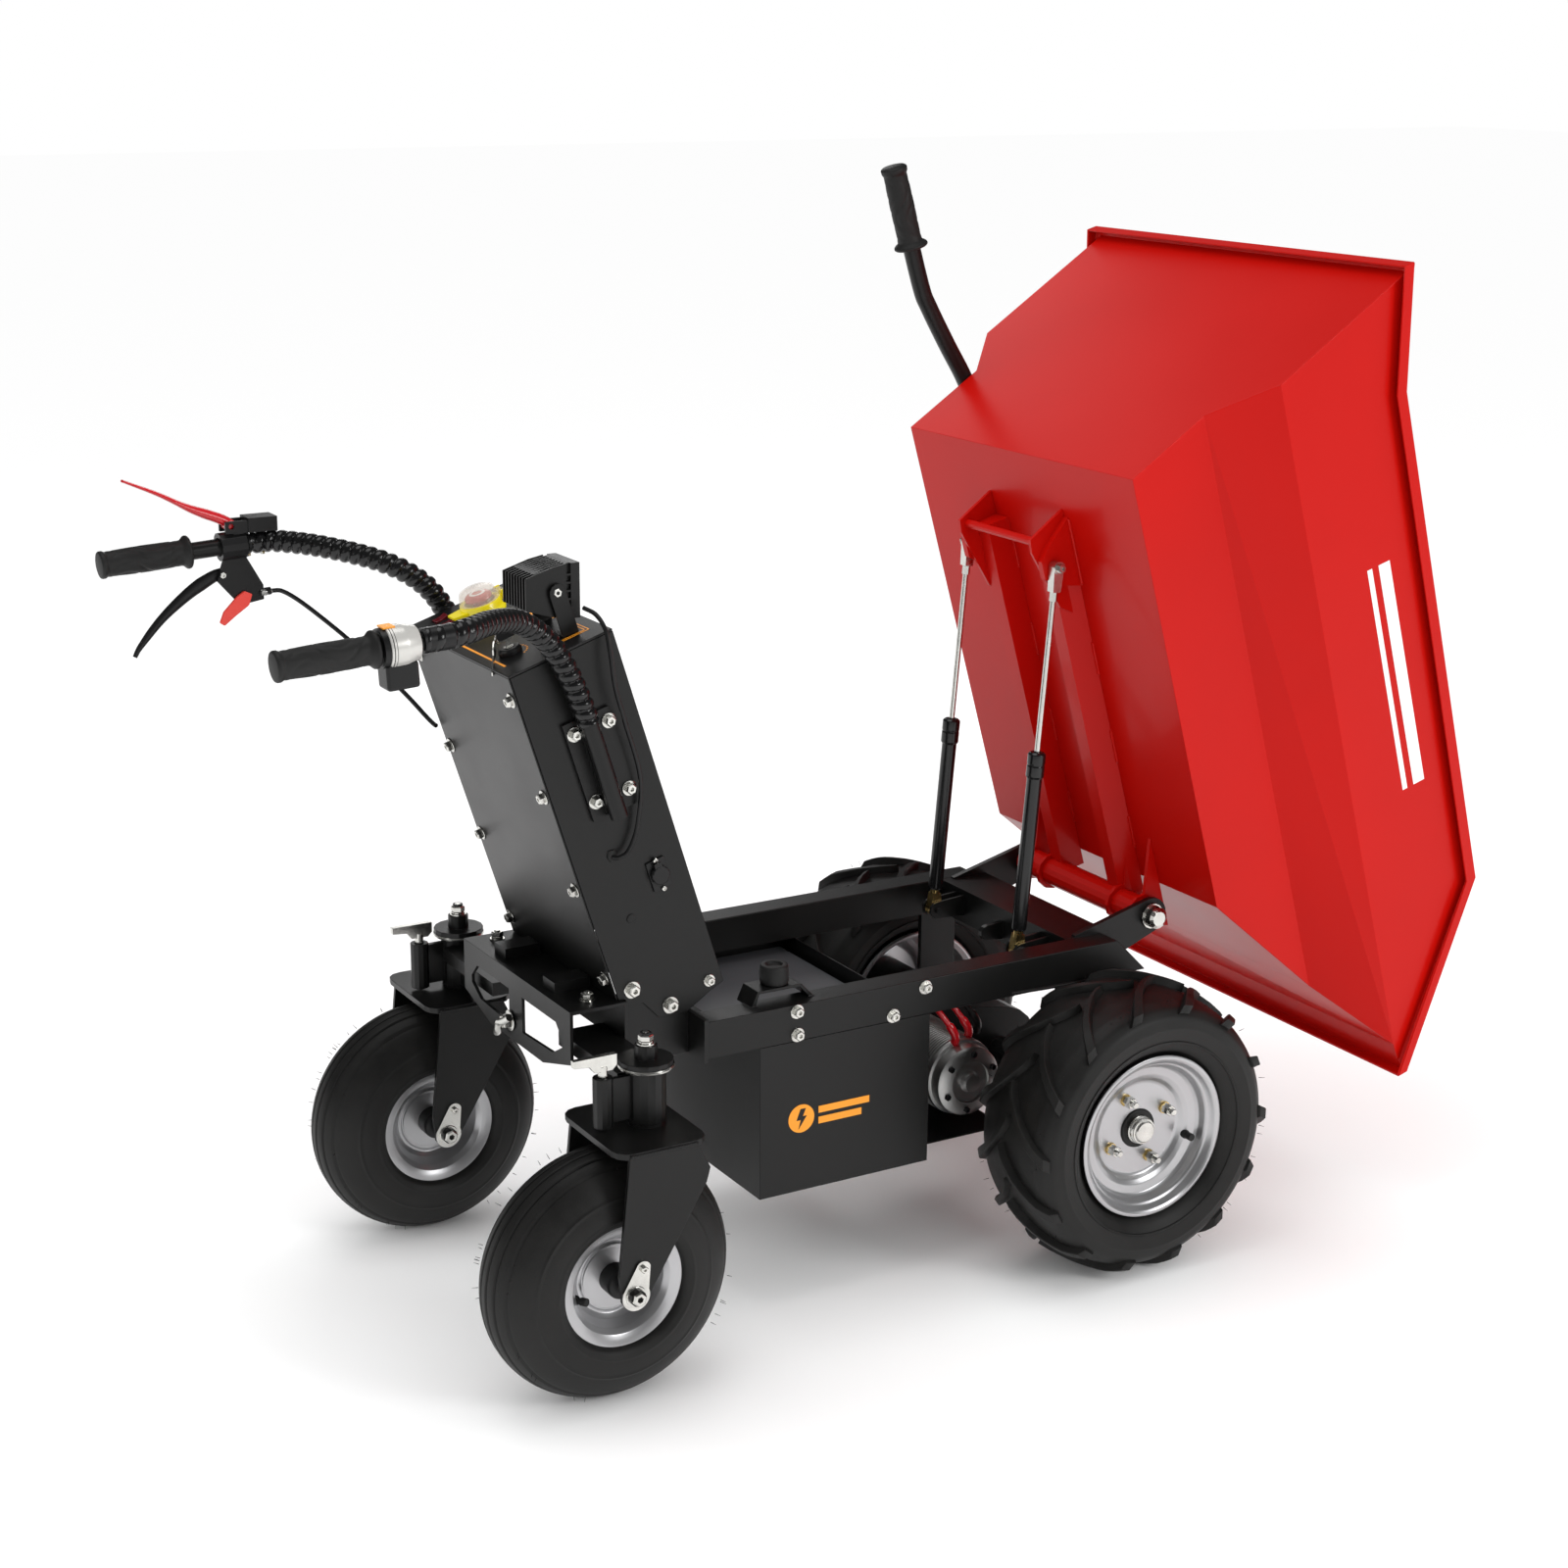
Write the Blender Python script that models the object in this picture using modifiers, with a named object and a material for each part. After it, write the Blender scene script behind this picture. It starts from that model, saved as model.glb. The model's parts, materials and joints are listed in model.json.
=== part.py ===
"""Power wheelbarrow: an electric mini dumper with a tipping tub, shown with the tub tipped forward.

Frame: metres, +X towards the tub end, +Y to the operator's left, +Z up, ground at Z = 0.
Pieces are built about three frames, each an empty: the chassis (below the drive axle), the console
tower, which leans back, and the tub, which stands on its pivot bolt and is tipped by TIP degrees.
"""
import math

import bmesh
import bpy
from mathutils import Matrix, Vector

# ---------------------------------------------------------------- driving dimensions
GAP = 0.0003                    # air left between pieces that touch
LEFT, RIGHT = 1, -1

DRIVE_R, DRIVE_W, DRIVE_Y = 0.203, 0.165, 0.292
CASTER_R, CASTER_W, CASTER_Y = 0.163, 0.125, 0.281
CASTER_X, SWIVEL_X = -0.7806, -0.7212
WHEEL_STEPS, CASTER_STEPS = 24, 20      # both put a vertex at the ground

RAIL_OUT, RAIL_IN = 0.195, 0.155
RAIL_TOP, RAIL_LOW = 0.421, 0.371
RAIL_REAR, RAIL_FRONT = -0.588, 0.105

BEAM_X = (-0.005, 0.070)
FOOT_PIN = (-0.051, 0.398)      # gas strut's lower pin, x and z
STRUT_Y = 0.105

PIVOT = (0.144, 0.431)          # tub pivot, x and z
TIP = 73.85                     # tub's lean at rest, degrees about +Y
TUB_BACK, TUB_LIFT = 0.660, 0.037   # from the pivot back and up to the tub floor's rear edge

TOWER_FOOT = (-0.545, 0.461)    # front lower edge of the console, x and z
TOWER_LEAN = 17.8
TOWER_D, TOWER_W, TOWER_H = 0.143, 0.155, 0.4936
SHEET = 0.0025

CHANNEL_X = (-0.765, -0.685)
CHANNEL_TOP, CHANNEL_Y = 0.456, 0.162

BAR_R, WRAP_R, WRAP_WALL = 0.0111, 0.0142, 0.0014
GRIP_Y, GRIP_END, GRIP_LONG = 0.315, -1.180, 0.117
BAR_Z, BAR_RISE = 0.9745, 3.3    # height of the bar's axis at the grip's end, and its rise in degrees

BOX_X, BOX_Z, BOX_Y = (-0.512, -0.252), (0.160, 0.3707), 0.1945

CENTRE_X = 0.3045               # moves the chassis frame so that the whole object is centred on X = 0

WELD = 1e-5                     # points this close become one
SHARP = math.radians(35)        # edges sharper than this stay crisp under smooth shading

# ---------------------------------------------------------------- tub, in its own level frame
FLOOR_X, FLOOR_Y = 0.631, 0.262
SHOULDER_Z, WALL_Z, WALL_Y = 0.128, 0.203, 0.332
BACK_SLOPE, CHUTE_SLOPE = -0.316, 1.472       # x gained per metre of height
BACK_Z, RIM_REAR, RIM_FRONT = 0.436, (0.0114, 0.3915), (0.737, 0.382)
LIP = (0.959, 0.206)
RIM_OUT, RIM_DROP, TUB_T = 0.010, 0.014, 0.003

COLOURS = {                     # base colour, metallic, roughness
    "frame_black": ((0.020, 0.020, 0.021), 0.0, 0.45),
    "tub_red": ((0.640, 0.022, 0.008), 0.0, 0.30),
    "tyre_rubber": ((0.012, 0.012, 0.012), 0.0, 0.75),
    "rim_silver": ((0.560, 0.565, 0.575), 0.6, 0.35),
    "zinc": ((0.600, 0.590, 0.560), 1.0, 0.30),
    "grip_rubber": ((0.018, 0.018, 0.019), 0.0, 0.65),
    "cover_plastic": ((0.016, 0.016, 0.017), 0.0, 0.40),
    "estop_yellow": ((0.800, 0.620, 0.010), 0.0, 0.35),
    "signal_red": ((0.560, 0.012, 0.010), 0.0, 0.30),
    "latch_red": ((0.700, 0.060, 0.040), 0.0, 0.35),
    "clear_plastic": ((0.850, 0.880, 0.880), 0.0, 0.08),
    "aluminium": ((0.520, 0.525, 0.530), 1.0, 0.40),
    "battery_grey": ((0.060, 0.062, 0.066), 0.0, 0.55),
}


# ---------------------------------------------------------------- scene and helpers
def clear_scene():
    """Removes every object, so that the script can be run again."""
    for ob in list(bpy.data.objects):
        bpy.data.objects.remove(ob, do_unlink=True)


def make_collection(name):
    """Returns a fresh collection linked to the scene."""
    group = bpy.data.collections.get(name) or bpy.data.collections.new(name)
    if group.name not in bpy.context.scene.collection.children:
        bpy.context.scene.collection.children.link(group)
    return group


def material(name):
    """One Principled material for each entry of COLOURS."""
    mat = bpy.data.materials.get(name)
    if mat is None:
        colour, metallic, roughness = COLOURS[name]
        mat = bpy.data.materials.new(name)
        mat.use_nodes = True
        shader = mat.node_tree.nodes["Principled BSDF"]
        shader.inputs["Base Color"].default_value = (*colour, 1.0)
        shader.inputs["Metallic"].default_value = metallic
        shader.inputs["Roughness"].default_value = roughness
        mat.diffuse_color = (*colour, 1.0)
    return mat


clear_scene()
PARTS = make_collection("power_wheelbarrow")
TOOLS = make_collection("boolean_tools")
TOOLS.hide_render = True


def empty(name, location=(0, 0, 0), lean_y=0.0, parent=None):
    """An empty that other pieces hang on, turned about Y."""
    ob = bpy.data.objects.new(name, None)
    ob.empty_display_size = 0.05
    ob.location = location
    ob.rotation_euler = (0.0, math.radians(lean_y), 0.0)
    ob.parent = parent
    PARTS.objects.link(ob)
    return ob


CHASSIS = empty("chassis_frame", (CENTRE_X, 0, 0))
TOWER = empty("tower_frame", (TOWER_FOOT[0], 0, TOWER_FOOT[1]), -TOWER_LEAN, CHASSIS)
TUB = empty("tub_frame", (PIVOT[0], 0, PIVOT[1]), TIP, CHASSIS)
BARS = empty("bar_frame", (GRIP_END, 0, BAR_Z), -BAR_RISE, CHASSIS)


def place(name, data, mat, frame):
    """Links a mesh or curve as a piece of the object or, without a material, as a hidden Boolean tool."""
    ob = bpy.data.objects.new(name, data)
    if mat:
        data.materials.append(material(mat))
        PARTS.objects.link(ob)
        ob.parent = frame or CHASSIS
    else:
        TOOLS.objects.link(ob)
        ob.display_type = "WIRE"
        ob.hide_render = True
    return ob


def loft(name, verts, faces, mat, frame):
    """An open sheet from rings of points, for a shape between unlike outlines."""
    mesh = bpy.data.meshes.new(name)
    bm = bmesh.new()
    points = [bm.verts.new(v) for v in verts]
    for face in faces:
        bm.faces.new([points[i] for i in face])
    bmesh.ops.recalc_face_normals(bm, faces=bm.faces)
    bm.to_mesh(mesh)
    bm.free()
    return place(name, mesh, mat, frame)


def box(name, lo, hi, mat=None, frame=None):
    """A cube sized and moved to fill the space between two corners."""
    low = Vector([min(pair) for pair in zip(lo, hi)])
    high = Vector([max(pair) for pair in zip(lo, hi)])
    mesh = bpy.data.meshes.new(name)
    bm = bmesh.new()
    bmesh.ops.create_cube(bm, size=1.0)
    bmesh.ops.scale(bm, vec=high - low, verts=bm.verts)
    bmesh.ops.translate(bm, vec=(low + high) / 2, verts=bm.verts)
    bm.to_mesh(mesh)
    bm.free()
    return place(name, mesh, mat, frame)


def poly_curve(name, points, closed=False):
    """A curve through the points in straight legs."""
    data = bpy.data.curves.new(name, "CURVE")
    spline = data.splines.new("POLY")
    spline.points.add(len(points) - 1)
    for corner, point in zip(spline.points, points):
        corner.co = (*point, 1.0)
    spline.use_cyclic_u = closed
    return data


def mesh_from(curve, name):
    """The mesh that a curve makes, with the caps welded to the sides. The curve is removed."""
    ob = bpy.data.objects.new(name, curve)
    TOOLS.objects.link(ob)
    graph = bpy.context.evaluated_depsgraph_get()
    mesh = bpy.data.meshes.new_from_object(ob.evaluated_get(graph))
    bpy.data.objects.remove(ob)
    bpy.data.curves.remove(curve)
    bm = bmesh.new()
    bm.from_mesh(mesh)
    bmesh.ops.remove_doubles(bm, verts=bm.verts, dist=WELD)
    bmesh.ops.recalc_face_normals(bm, faces=bm.faces)
    bm.to_mesh(mesh)
    bm.free()
    mesh.name = name
    mesh.shade_smooth()
    mesh.set_sharp_from_angle(angle=SHARP)
    return mesh


def prism(name, outline, axis, lo, hi, mat=None, frame=None):
    """A filled outline extruded along an axis: (y, z) along x, (x, z) along y or (x, y) along z."""
    curve = poly_curve(name, [(a, b, 0.0) for a, b in outline], closed=True)
    curve.dimensions, curve.fill_mode = "2D", "BOTH"
    curve.extrude = 0.5 * abs(hi - lo)
    ob = place(name, mesh_from(curve, name), mat, frame)
    middle, quarter = 0.5 * (lo + hi), math.pi / 2
    ob.location = {"x": (middle, 0, 0), "y": (0, middle, 0), "z": (0, 0, middle)}[axis]
    ob.rotation_euler = {"x": (quarter, 0, quarter), "y": (quarter, 0, 0), "z": (0, 0, 0)}[axis]
    return ob


def turned(name, profile, centre, axis, steps, mat=None, frame=None):
    """A profile of (radius, height) points turned about an axis through centre by a Screw modifier.

    A profile that starts and ends on the axis makes a solid; a closed one makes a ring."""
    mesh = bpy.data.meshes.new(name)
    ring = profile[0][0] > 0 or profile[-1][0] > 0
    verts = [(r, 0.0, h) for r, h in profile]
    edges = [(i, i + 1) for i in range(len(profile) - 1)]
    if ring:
        edges.append((len(profile) - 1, 0))
    mesh.from_pydata(verts, edges, [])
    ob = place(name, mesh, mat, frame)
    screw = ob.modifiers.new("turn", "SCREW")
    screw.steps = screw.render_steps = steps
    screw.use_merge_vertices = True
    screw.merge_threshold = WELD
    area = sum(a[0] * b[1] - b[0] * a[1] for a, b in zip(profile, profile[1:] + profile[:1]))
    screw.use_normal_flip = area > 0
    screw.use_smooth_shade = True
    ob.location = centre
    ob.rotation_euler = {"x": (0, math.pi / 2, 0), "y": (-math.pi / 2, 0, 0), "z": (0, 0, 0)}[axis]
    return ob


def rod(name, radius, centre, axis, lo, hi, steps=16, mat=None, frame=None):
    """A plain round bar from lo to hi along an axis through centre."""
    return turned(name, [(0, hi), (radius, hi), (radius, lo), (0, lo)], centre, axis, steps, mat, frame)


def smooth_path(points, per_leg):
    """A Catmull-Rom curve through the points, with per_leg steps on each leg."""
    pts = [Vector(p) for p in points]
    pts = [2 * pts[0] - pts[1]] + pts + [2 * pts[-1] - pts[-2]]
    out = []
    for a, b, c, d in zip(pts, pts[1:], pts[2:], pts[3:]):
        for k in range(per_leg):
            t = k / per_leg
            out.append(0.5 * (2 * b + (c - a) * t + (2 * a - 5 * b + 4 * c - d) * t * t
                              + (3 * b - a - 3 * c + d) * t ** 3))
    return out + [pts[-2]]


def round_curve(name, points, radius, resolution, capped=True):
    """A curve through the points with a round section, closed at its ends if capped."""
    curve = poly_curve(name, points)
    curve.dimensions = "3D"
    curve.bevel_depth, curve.bevel_resolution = radius, resolution
    curve.use_fill_caps = capped
    return curve


def bar(name, points, radius, mat, frame=None):
    """A round bar along a path, as a mesh that plates can be joined to."""
    return place(name, mesh_from(round_curve(name, points, radius, 3), name), mat, frame)


def cable(name, points, radius, mat):
    """A round cable along a path."""
    return place(name, round_curve(name, points, radius, 2), mat, None)


def sleeve(name, points, radius, wall, mat):
    """A hose along a path: an open tube with a thickness towards its inside."""
    ob = place(name, round_curve(name, points, radius, 3, capped=False), mat, None)
    skin = ob.modifiers.new("wall", "SOLIDIFY")
    skin.thickness, skin.offset, skin.use_even_offset = wall, -1.0, True
    return ob


def hinge_at(ob, point):
    """Moves the origin onto the joint, leaving the shape where it is."""
    shift = ob.matrix_basis.inverted() @ Vector(point)
    ob.data.transform(Matrix.Translation(-shift))
    ob.location = point
    return ob


def combine(target, tools, how):
    """Adds or cuts helper solids with exact Booleans. Helpers stand in the target's own frame."""
    for tool in tools:
        tool.parent = target.parent
        mod = target.modifiers.new(how.lower() + "_" + tool.name, "BOOLEAN")
        mod.operation, mod.solver, mod.object = how, "EXACT", tool
    return target


def add(target, *tools):
    return combine(target, tools, "UNION")


def cut(target, *tools):
    return combine(target, tools, "DIFFERENCE")


def arc(cx, cz, radius, start, end, steps):
    """Points on a circle from start to end degrees."""
    return [(cx + radius * math.cos(math.radians(start + (end - start) * k / steps)),
             cz + radius * math.sin(math.radians(start + (end - start) * k / steps)))
            for k in range(steps + 1)]


def span(side, near, far):
    """The two Y values of a plate on one side of the machine, in rising order."""
    return tuple(sorted((side * near, side * far)))


def name_of(base, side):
    return base + ("_left" if side == LEFT else "_right")


# ---------------------------------------------------------------- chassis
def chassis_rail(side):
    """Hollow rail with a slanted front end, open at the rear, with the bracket of its rubber buffer."""
    y0, y1 = span(side, RAIL_IN, RAIL_OUT)
    outline = [(RAIL_REAR, RAIL_LOW), (RAIL_REAR, RAIL_TOP), (0.055, RAIL_TOP), (RAIL_FRONT, RAIL_LOW)]
    rail = prism(name_of("chassis_rail", side), outline, "y", y0, y1, "frame_black")
    wall = 0.0035
    bore = box(name_of("cut_rail", side), (RAIL_REAR - 0.01, y0 + wall, RAIL_LOW + wall),
               (0.035, y1 - wall, RAIL_TOP - wall))
    cut(rail, bore)
    bridge = [(-0.515, 0.4195), (-0.505, 0.4410), (-0.440, 0.4410), (-0.420, 0.4195),
              (-0.427, 0.4195), (-0.4425, 0.4370), (-0.5025, 0.4370), (-0.508, 0.4195)]
    add(rail, prism(name_of("add_bridge", side), bridge, "y", *span(side, 0.137, 0.176)))
    return rail


def rubber_buffer(side):
    """Round rubber block that the lowered tub rests on."""
    low, high = 0.4410 + GAP, PIVOT[1] + TUB_LIFT - 0.0005
    profile = [(0, high), (0.0175, high), (0.0195, high - 0.002), (0.0195, low + 0.001),
               (0.0185, low), (0, low)]
    return turned(name_of("rubber_buffer", side), profile, (-0.470, side * 0.1565, 0), "z", 14,
                  "tyre_rubber")


def front_subframe():
    """Cross beam with the two tub pivot brackets and the fork ears of both gas struts."""
    x0, x1 = BEAM_X
    beam = box("front_subframe", (x0, -RAIL_IN + GAP, RAIL_LOW), (x1, RAIL_IN - GAP, RAIL_TOP),
               "frame_black")
    wall = 0.004
    cut(beam, box("cut_beam", (x0 + wall, -0.2, RAIL_LOW + wall), (x1 - wall, 0.2, RAIL_TOP - wall)))
    for side in (LEFT, RIGHT):
        px, pz = PIVOT
        outline = [(0.062, 0.3725), (0.012, 0.4180), (0.012, 0.4230)]
        outline += arc(px, pz, 0.0255, 106, -52, 9)
        add(beam, prism(name_of("add_pivot_plate", side), outline, "y", *span(side, 0.1460, 0.1544)))
        fx, fz = FOOT_PIN
        for k, (near, far) in enumerate(((0.0930, 0.0970), (0.1130, 0.1170))):
            ear = [(x0 + 0.002, 0.383)] + [(x0 + 0.002, 0.414)] + arc(fx, fz, 0.0125, 90, 270, 6)
            add(beam, prism(name_of("add_ear%d" % k, side), ear, "y", *span(side, near, far)))
        add(beam, rod(name_of("add_foot_pin", side), 0.0040, (fx, 0, fz), "y",
                      *span(side, 0.0900, 0.1210), steps=12))
        cut(beam, rod(name_of("cut_pivot_hole", side), 0.0112, (px, 0, pz), "y",
                      *span(side, 0.140, 0.160), steps=16))
    lug = [(x0 + 0.002, 0.376), (x0 + 0.002, 0.402)] + arc(-0.030, 0.389, 0.011, 90, 270, 5)
    add(beam, prism("add_latch_lug", lug, "y", -0.004, 0.004))
    return beam


def pivot_bolt():
    """The long bolt that the tub turns on, with its head, washers and nut."""
    y = 0.1544 + GAP
    profile = [(0, y + 0.012), (0.0150, y + 0.012), (0.0150, y + 0.003), (0.0185, y + 0.003),
               (0.0185, y), (0.0100, y), (0.0100, -y), (0.0185, -y), (0.0185, -y - 0.003),
               (0.0155, -y - 0.003), (0.0155, -y - 0.015), (0.0105, -y - 0.018), (0, -y - 0.018)]
    return turned("pivot_bolt", profile, (PIVOT[0], 0, PIVOT[1]), "y", 14, "zinc")


def rear_subframe():
    """Open cross channel behind the tower, with the two foot plates that the tower bolts to."""
    (x0, x1), top, half = CHANNEL_X, CHANNEL_TOP, CHANNEL_Y
    frame = box("rear_subframe", (x0, -half, top - 0.0045), (x1, half, top), "frame_black")
    face = [(-half, top), (half, top), (half, 0.386), (0.080, 0.362), (-0.080, 0.362), (-half, 0.386)]
    add(frame, prism("add_rear_face", face, "x", x0, x0 + 0.0045))
    add(frame, box("add_front_web", (x1 - 0.0045, -half, 0.398), (x1, half, top)))
    for side in (LEFT, RIGHT):
        window = [(side * y, z) for y, z in ((0.020, 0.382), (0.020, 0.430), (0.120, 0.430),
                                             (0.138, 0.412), (0.138, 0.402), (0.110, 0.386))]
        cut(frame, prism(name_of("cut_window", side), window, "x", x0 - 0.01, x0 + 0.01))
        add(frame, box(name_of("add_foot", side), (x1 - 0.004, span(side, 0.1465, 0.1522)[0], 0.368),
                       (-0.5925, span(side, 0.1465, 0.1522)[1], top)))
        add(frame, box(name_of("add_rail_end", side), (-0.5945, span(side, 0.1470, 0.1970)[0], 0.367),
                       (RAIL_REAR - GAP, span(side, 0.1470, 0.1970)[1], 0.425)))
        add(frame, box(name_of("add_lug", side), (-0.752, span(side, 0.057, 0.091)[0], top - 0.001),
                       (-0.702, span(side, 0.057, 0.091)[1], top + 0.014)))
    return frame


def caster_arm(side):
    """Swivel barrel with its arm into the cross channel and the sleeve of the lock pin."""
    y = side * CASTER_Y
    barrel = rod(name_of("caster_arm", side), 0.0245, (SWIVEL_X, y, 0), "z", 0.3505, 0.4165, 16,
                 "frame_black")
    add(barrel, box(name_of("add_arm", side), (-0.752, span(side, 0.100, 0.265)[0], 0.3905),
                    (-0.6905, span(side, 0.100, 0.265)[1], 0.4090)))
    gusset = [(side * a, z) for a, z in ((0.1625, 0.392), (0.262, 0.392), (0.262, 0.353), (0.240, 0.353))]
    add(barrel, prism(name_of("add_gusset", side), gusset, "x", -0.730, -0.722))
    add(barrel, box(name_of("add_web", side), (-0.771, y - 0.004, 0.356), (-0.738, y + 0.004, 0.412)))
    add(barrel, rod(name_of("add_sleeve", side), 0.0125, (-0.780, y, 0), "z", 0.3520, 0.4160, 12))
    cut(barrel, rod(name_of("cut_barrel", side), 0.0140, (SWIVEL_X, y, 0), "z", 0.34, 0.43, 12),
        rod(name_of("cut_sleeve", side), 0.0068, (-0.780, y, 0), "z", 0.34, 0.43, 12))
    return barrel


def battery_box():
    """Open-topped sheet box under the rails, with the skid plate below the motor."""
    (x0, x1), (z0, z1), y, t = BOX_X, BOX_Z, BOX_Y, 0.0025
    tray = box("battery_box", (x0, -y, z0), (x1, y, z1), "frame_black")
    cut(tray, box("cut_tray", (x0 + t, -y + t, z0 + t), (x1 - t, y - t, z1 + 0.01)))
    add(tray, box("add_skid", (x1 - 0.001, -0.150, z0), (-0.095, -0.004, z0 + t)))
    return tray


def battery_pack():
    """The sealed battery inside the box."""
    return box("battery_pack", (-0.505, -0.186, BOX_Z[0] + 0.0030), (-0.262, 0.186, 0.352), "battery_grey")


# ---------------------------------------------------------------- drive
def gearbox_axle():
    """Reduction case with the two axle tubes and the hangers under the rails."""
    z = DRIVE_R
    case = arc(0, z, 0.066, -100, 75, 10) + arc(-0.150, 0.235, 0.060, 82, 262, 10)
    body = prism("gearbox_axle", case, "y", 0.002, 0.048, "aluminium")
    for side in (LEFT, RIGHT):
        reach = (0.020, 0.205) if side == LEFT else (-0.205, 0.040)
        add(body, rod(name_of("add_axle_tube", side), 0.0210, (0, 0, z), "y", *reach, steps=16))
        add(body, box(name_of("add_hanger", side), (-0.030, span(side, 0.168, 0.176)[0], z - 0.004),
                      (0.030, span(side, 0.168, 0.176)[1], RAIL_LOW - GAP)))
        cut(body, rod(name_of("cut_axle_tube", side), 0.0140, (0, 0, z), "y", *span(side, 0.110, 0.210),
                      steps=16))
    return body


def drive_motor():
    """Motor beside the reduction case, with its end bell towards the right."""
    profile = [(0, 0.0017), (0.055, 0.0017), (0.055, -0.118), (0.050, -0.122), (0.050, -0.140),
               (0.030, -0.146), (0.012, -0.146), (0.012, -0.152), (0, -0.152)]
    return turned("drive_motor", profile, (-0.150, 0, 0.235), "y", 16, "aluminium")


def drive_rim(side):
    """Deep-dish rim with its hub, cap and the half shaft that runs in the axle tube."""
    w, seat, flange = 0.070, 0.1015, 0.1144
    face = 0.033                               # hub face, outboard of the wheel's middle
    profile = [(0, face + 0.003), (0.062, face + 0.003), (0.094, face + 0.016), (0.1010, w - 0.006),
               (flange, w - 0.004), (seat, w - 0.013), (0.0925, 0.012), (0.0925, -0.020),
               (seat, -w + 0.013), (flange, -w + 0.004), (0.1010, -w + 0.006), (0.0885, -0.020),
               (0.0885, face + 0.006), (0.062, face - 0.004), (0.045, face - 0.006), (0.045, -0.060),
               (0.0245, -0.064), (0.0245, -0.080), (0.0125, -0.080), (0.0125, -0.170), (0, -0.170)]
    flip = [(r, side * h) for r, h in profile]
    return turned(name_of("drive_rim", side), flip, (0, side * DRIVE_Y, DRIVE_R), "y", WHEEL_STEPS, "rim_silver")


def tyre_profile(radius, half, seat, bead, wall, shoulder):
    """Closed section of a tyre, open towards the rim: out along the outside, back along the inside."""
    flange = seat + 0.0145
    outer = [(seat, bead - 0.009), (seat, bead), (flange, bead + 0.0035),
             (0.5 * (flange + shoulder), half), (shoulder, half - 0.004), (radius, 0.42 * half)]
    outer += [(r, -h) for r, h in reversed(outer)]
    inner = [(seat + 0.006, -bead + 0.009), (shoulder - wall, -half + wall + 0.008),
             (radius - wall, -0.30 * half)]
    inner += [(r, -h) for r, h in reversed(inner)]
    return outer + inner


def wheel_tyre(name, profile, x, y, radius, steps):
    return turned(name, profile, (x, y, radius), "y", steps, "tyre_rubber")


def drive_tyre(side):
    profile = tyre_profile(DRIVE_R, DRIVE_W / 2, 0.1015 + GAP, 0.0562, 0.012, 0.186)
    return wheel_tyre(name_of("drive_tyre", side), profile, 0, side * DRIVE_Y, DRIVE_R, WHEEL_STEPS)


def caster_tyre(side):
    profile = tyre_profile(CASTER_R, CASTER_W / 2, 0.0635 + GAP, 0.0380, 0.009, 0.143)
    return wheel_tyre(name_of("caster_tyre", side), profile, CASTER_X, side * CASTER_Y, CASTER_R, CASTER_STEPS)


def caster_rim(side):
    """Pressed rim with a flat disc and a long bored hub."""
    profile = [(0.0072, 0.050), (0.018, 0.050), (0.018, 0.016), (0.044, 0.013), (0.0560, 0.040),
               (0.0775, 0.0490), (0.0770, 0.0435), (0.0635, 0.0385), (0.0580, 0.0), (0.0635, -0.0385),
               (0.0770, -0.0435), (0.0775, -0.0490), (0.0560, -0.040), (0.0535, 0.002),
               (0.018, 0.006), (0.018, -0.050), (0.0072, -0.050)]
    return turned(name_of("caster_rim", side), profile, (CASTER_X, side * CASTER_Y, CASTER_R), "y", CASTER_STEPS,
                  "rim_silver")


def caster_fork(side):
    """Two-legged fork with its kingpin, top cap, nut and the wheel's axle bolt."""
    y, crown = side * CASTER_Y, 0.347
    corner = 0.022
    x0, x1, h = -0.800, -0.676, 0.082
    plate = (arc(x1 - corner, y + h - corner, corner, 0, 90, 3)
             + arc(x0 + corner, y + h - corner, corner, 90, 180, 3)
             + arc(x0 + corner, y - h + corner, corner, 180, 270, 3)
             + arc(x1 - corner, y - h + corner, corner, 270, 360, 3))
    fork = prism(name_of("caster_fork", side), plate, "z", crown - 0.008, crown, "frame_black")
    leg = [(-0.785, crown - 0.004), (-0.693, crown - 0.004), (-0.677, 0.308), (-0.682, 0.290)]
    leg += arc(CASTER_X, CASTER_R, 0.0185, -25, -155, 5) + [(-0.801, 0.190), (-0.793, 0.266)]
    for k, (near, far) in enumerate(((0.076, 0.082), (-0.082, -0.076))):
        add(fork, prism(name_of("add_leg%d" % k, side), leg, "y", y + near, y + far))
    kingpin = [(0, 0.463), (0.007, 0.463), (0.007, 0.4475), (0.0140, 0.4475), (0.0140, 0.4300),
               (0.0340, 0.4300), (0.0340, 0.4195), (0.0125, 0.4195), (0.0125, 0.3500),
               (0.0240, 0.3500), (0.0240, crown - 0.002), (0, crown - 0.002)]
    add(fork, turned(name_of("add_kingpin", side), kingpin, (SWIVEL_X, y, 0), "z", 16))
    bolt = [(0, 0.092), (0.0105, 0.092), (0.0105, 0.0815), (0.0060, 0.0815),
            (0.0060, -0.0815), (0.0105, -0.0815), (0.0105, -0.092), (0, -0.092)]
    add(fork, turned(name_of("add_axle", side), bolt, (CASTER_X, y, CASTER_R), "y", 12))
    return hinge_at(fork, (SWIVEL_X, y, crown))


def lock_pin(side):
    """Spring pin with a folded T handle, just above the fork's crown."""
    y = side * CASTER_Y
    pin = rod(name_of("lock_pin", side), 0.0060, (-0.780, y, 0), "z", 0.3490, 0.4300, 12, "zinc")
    handle = [(-0.820, 0.4440), (-0.762, 0.4440), (-0.762, 0.4300), (-0.768, 0.4240), (-0.792, 0.4240),
              (-0.799, 0.4330), (-0.820, 0.4350)]
    add(pin, prism(name_of("add_t_handle", side), handle, "y", y - 0.004, y + 0.004))
    return pin


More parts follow.
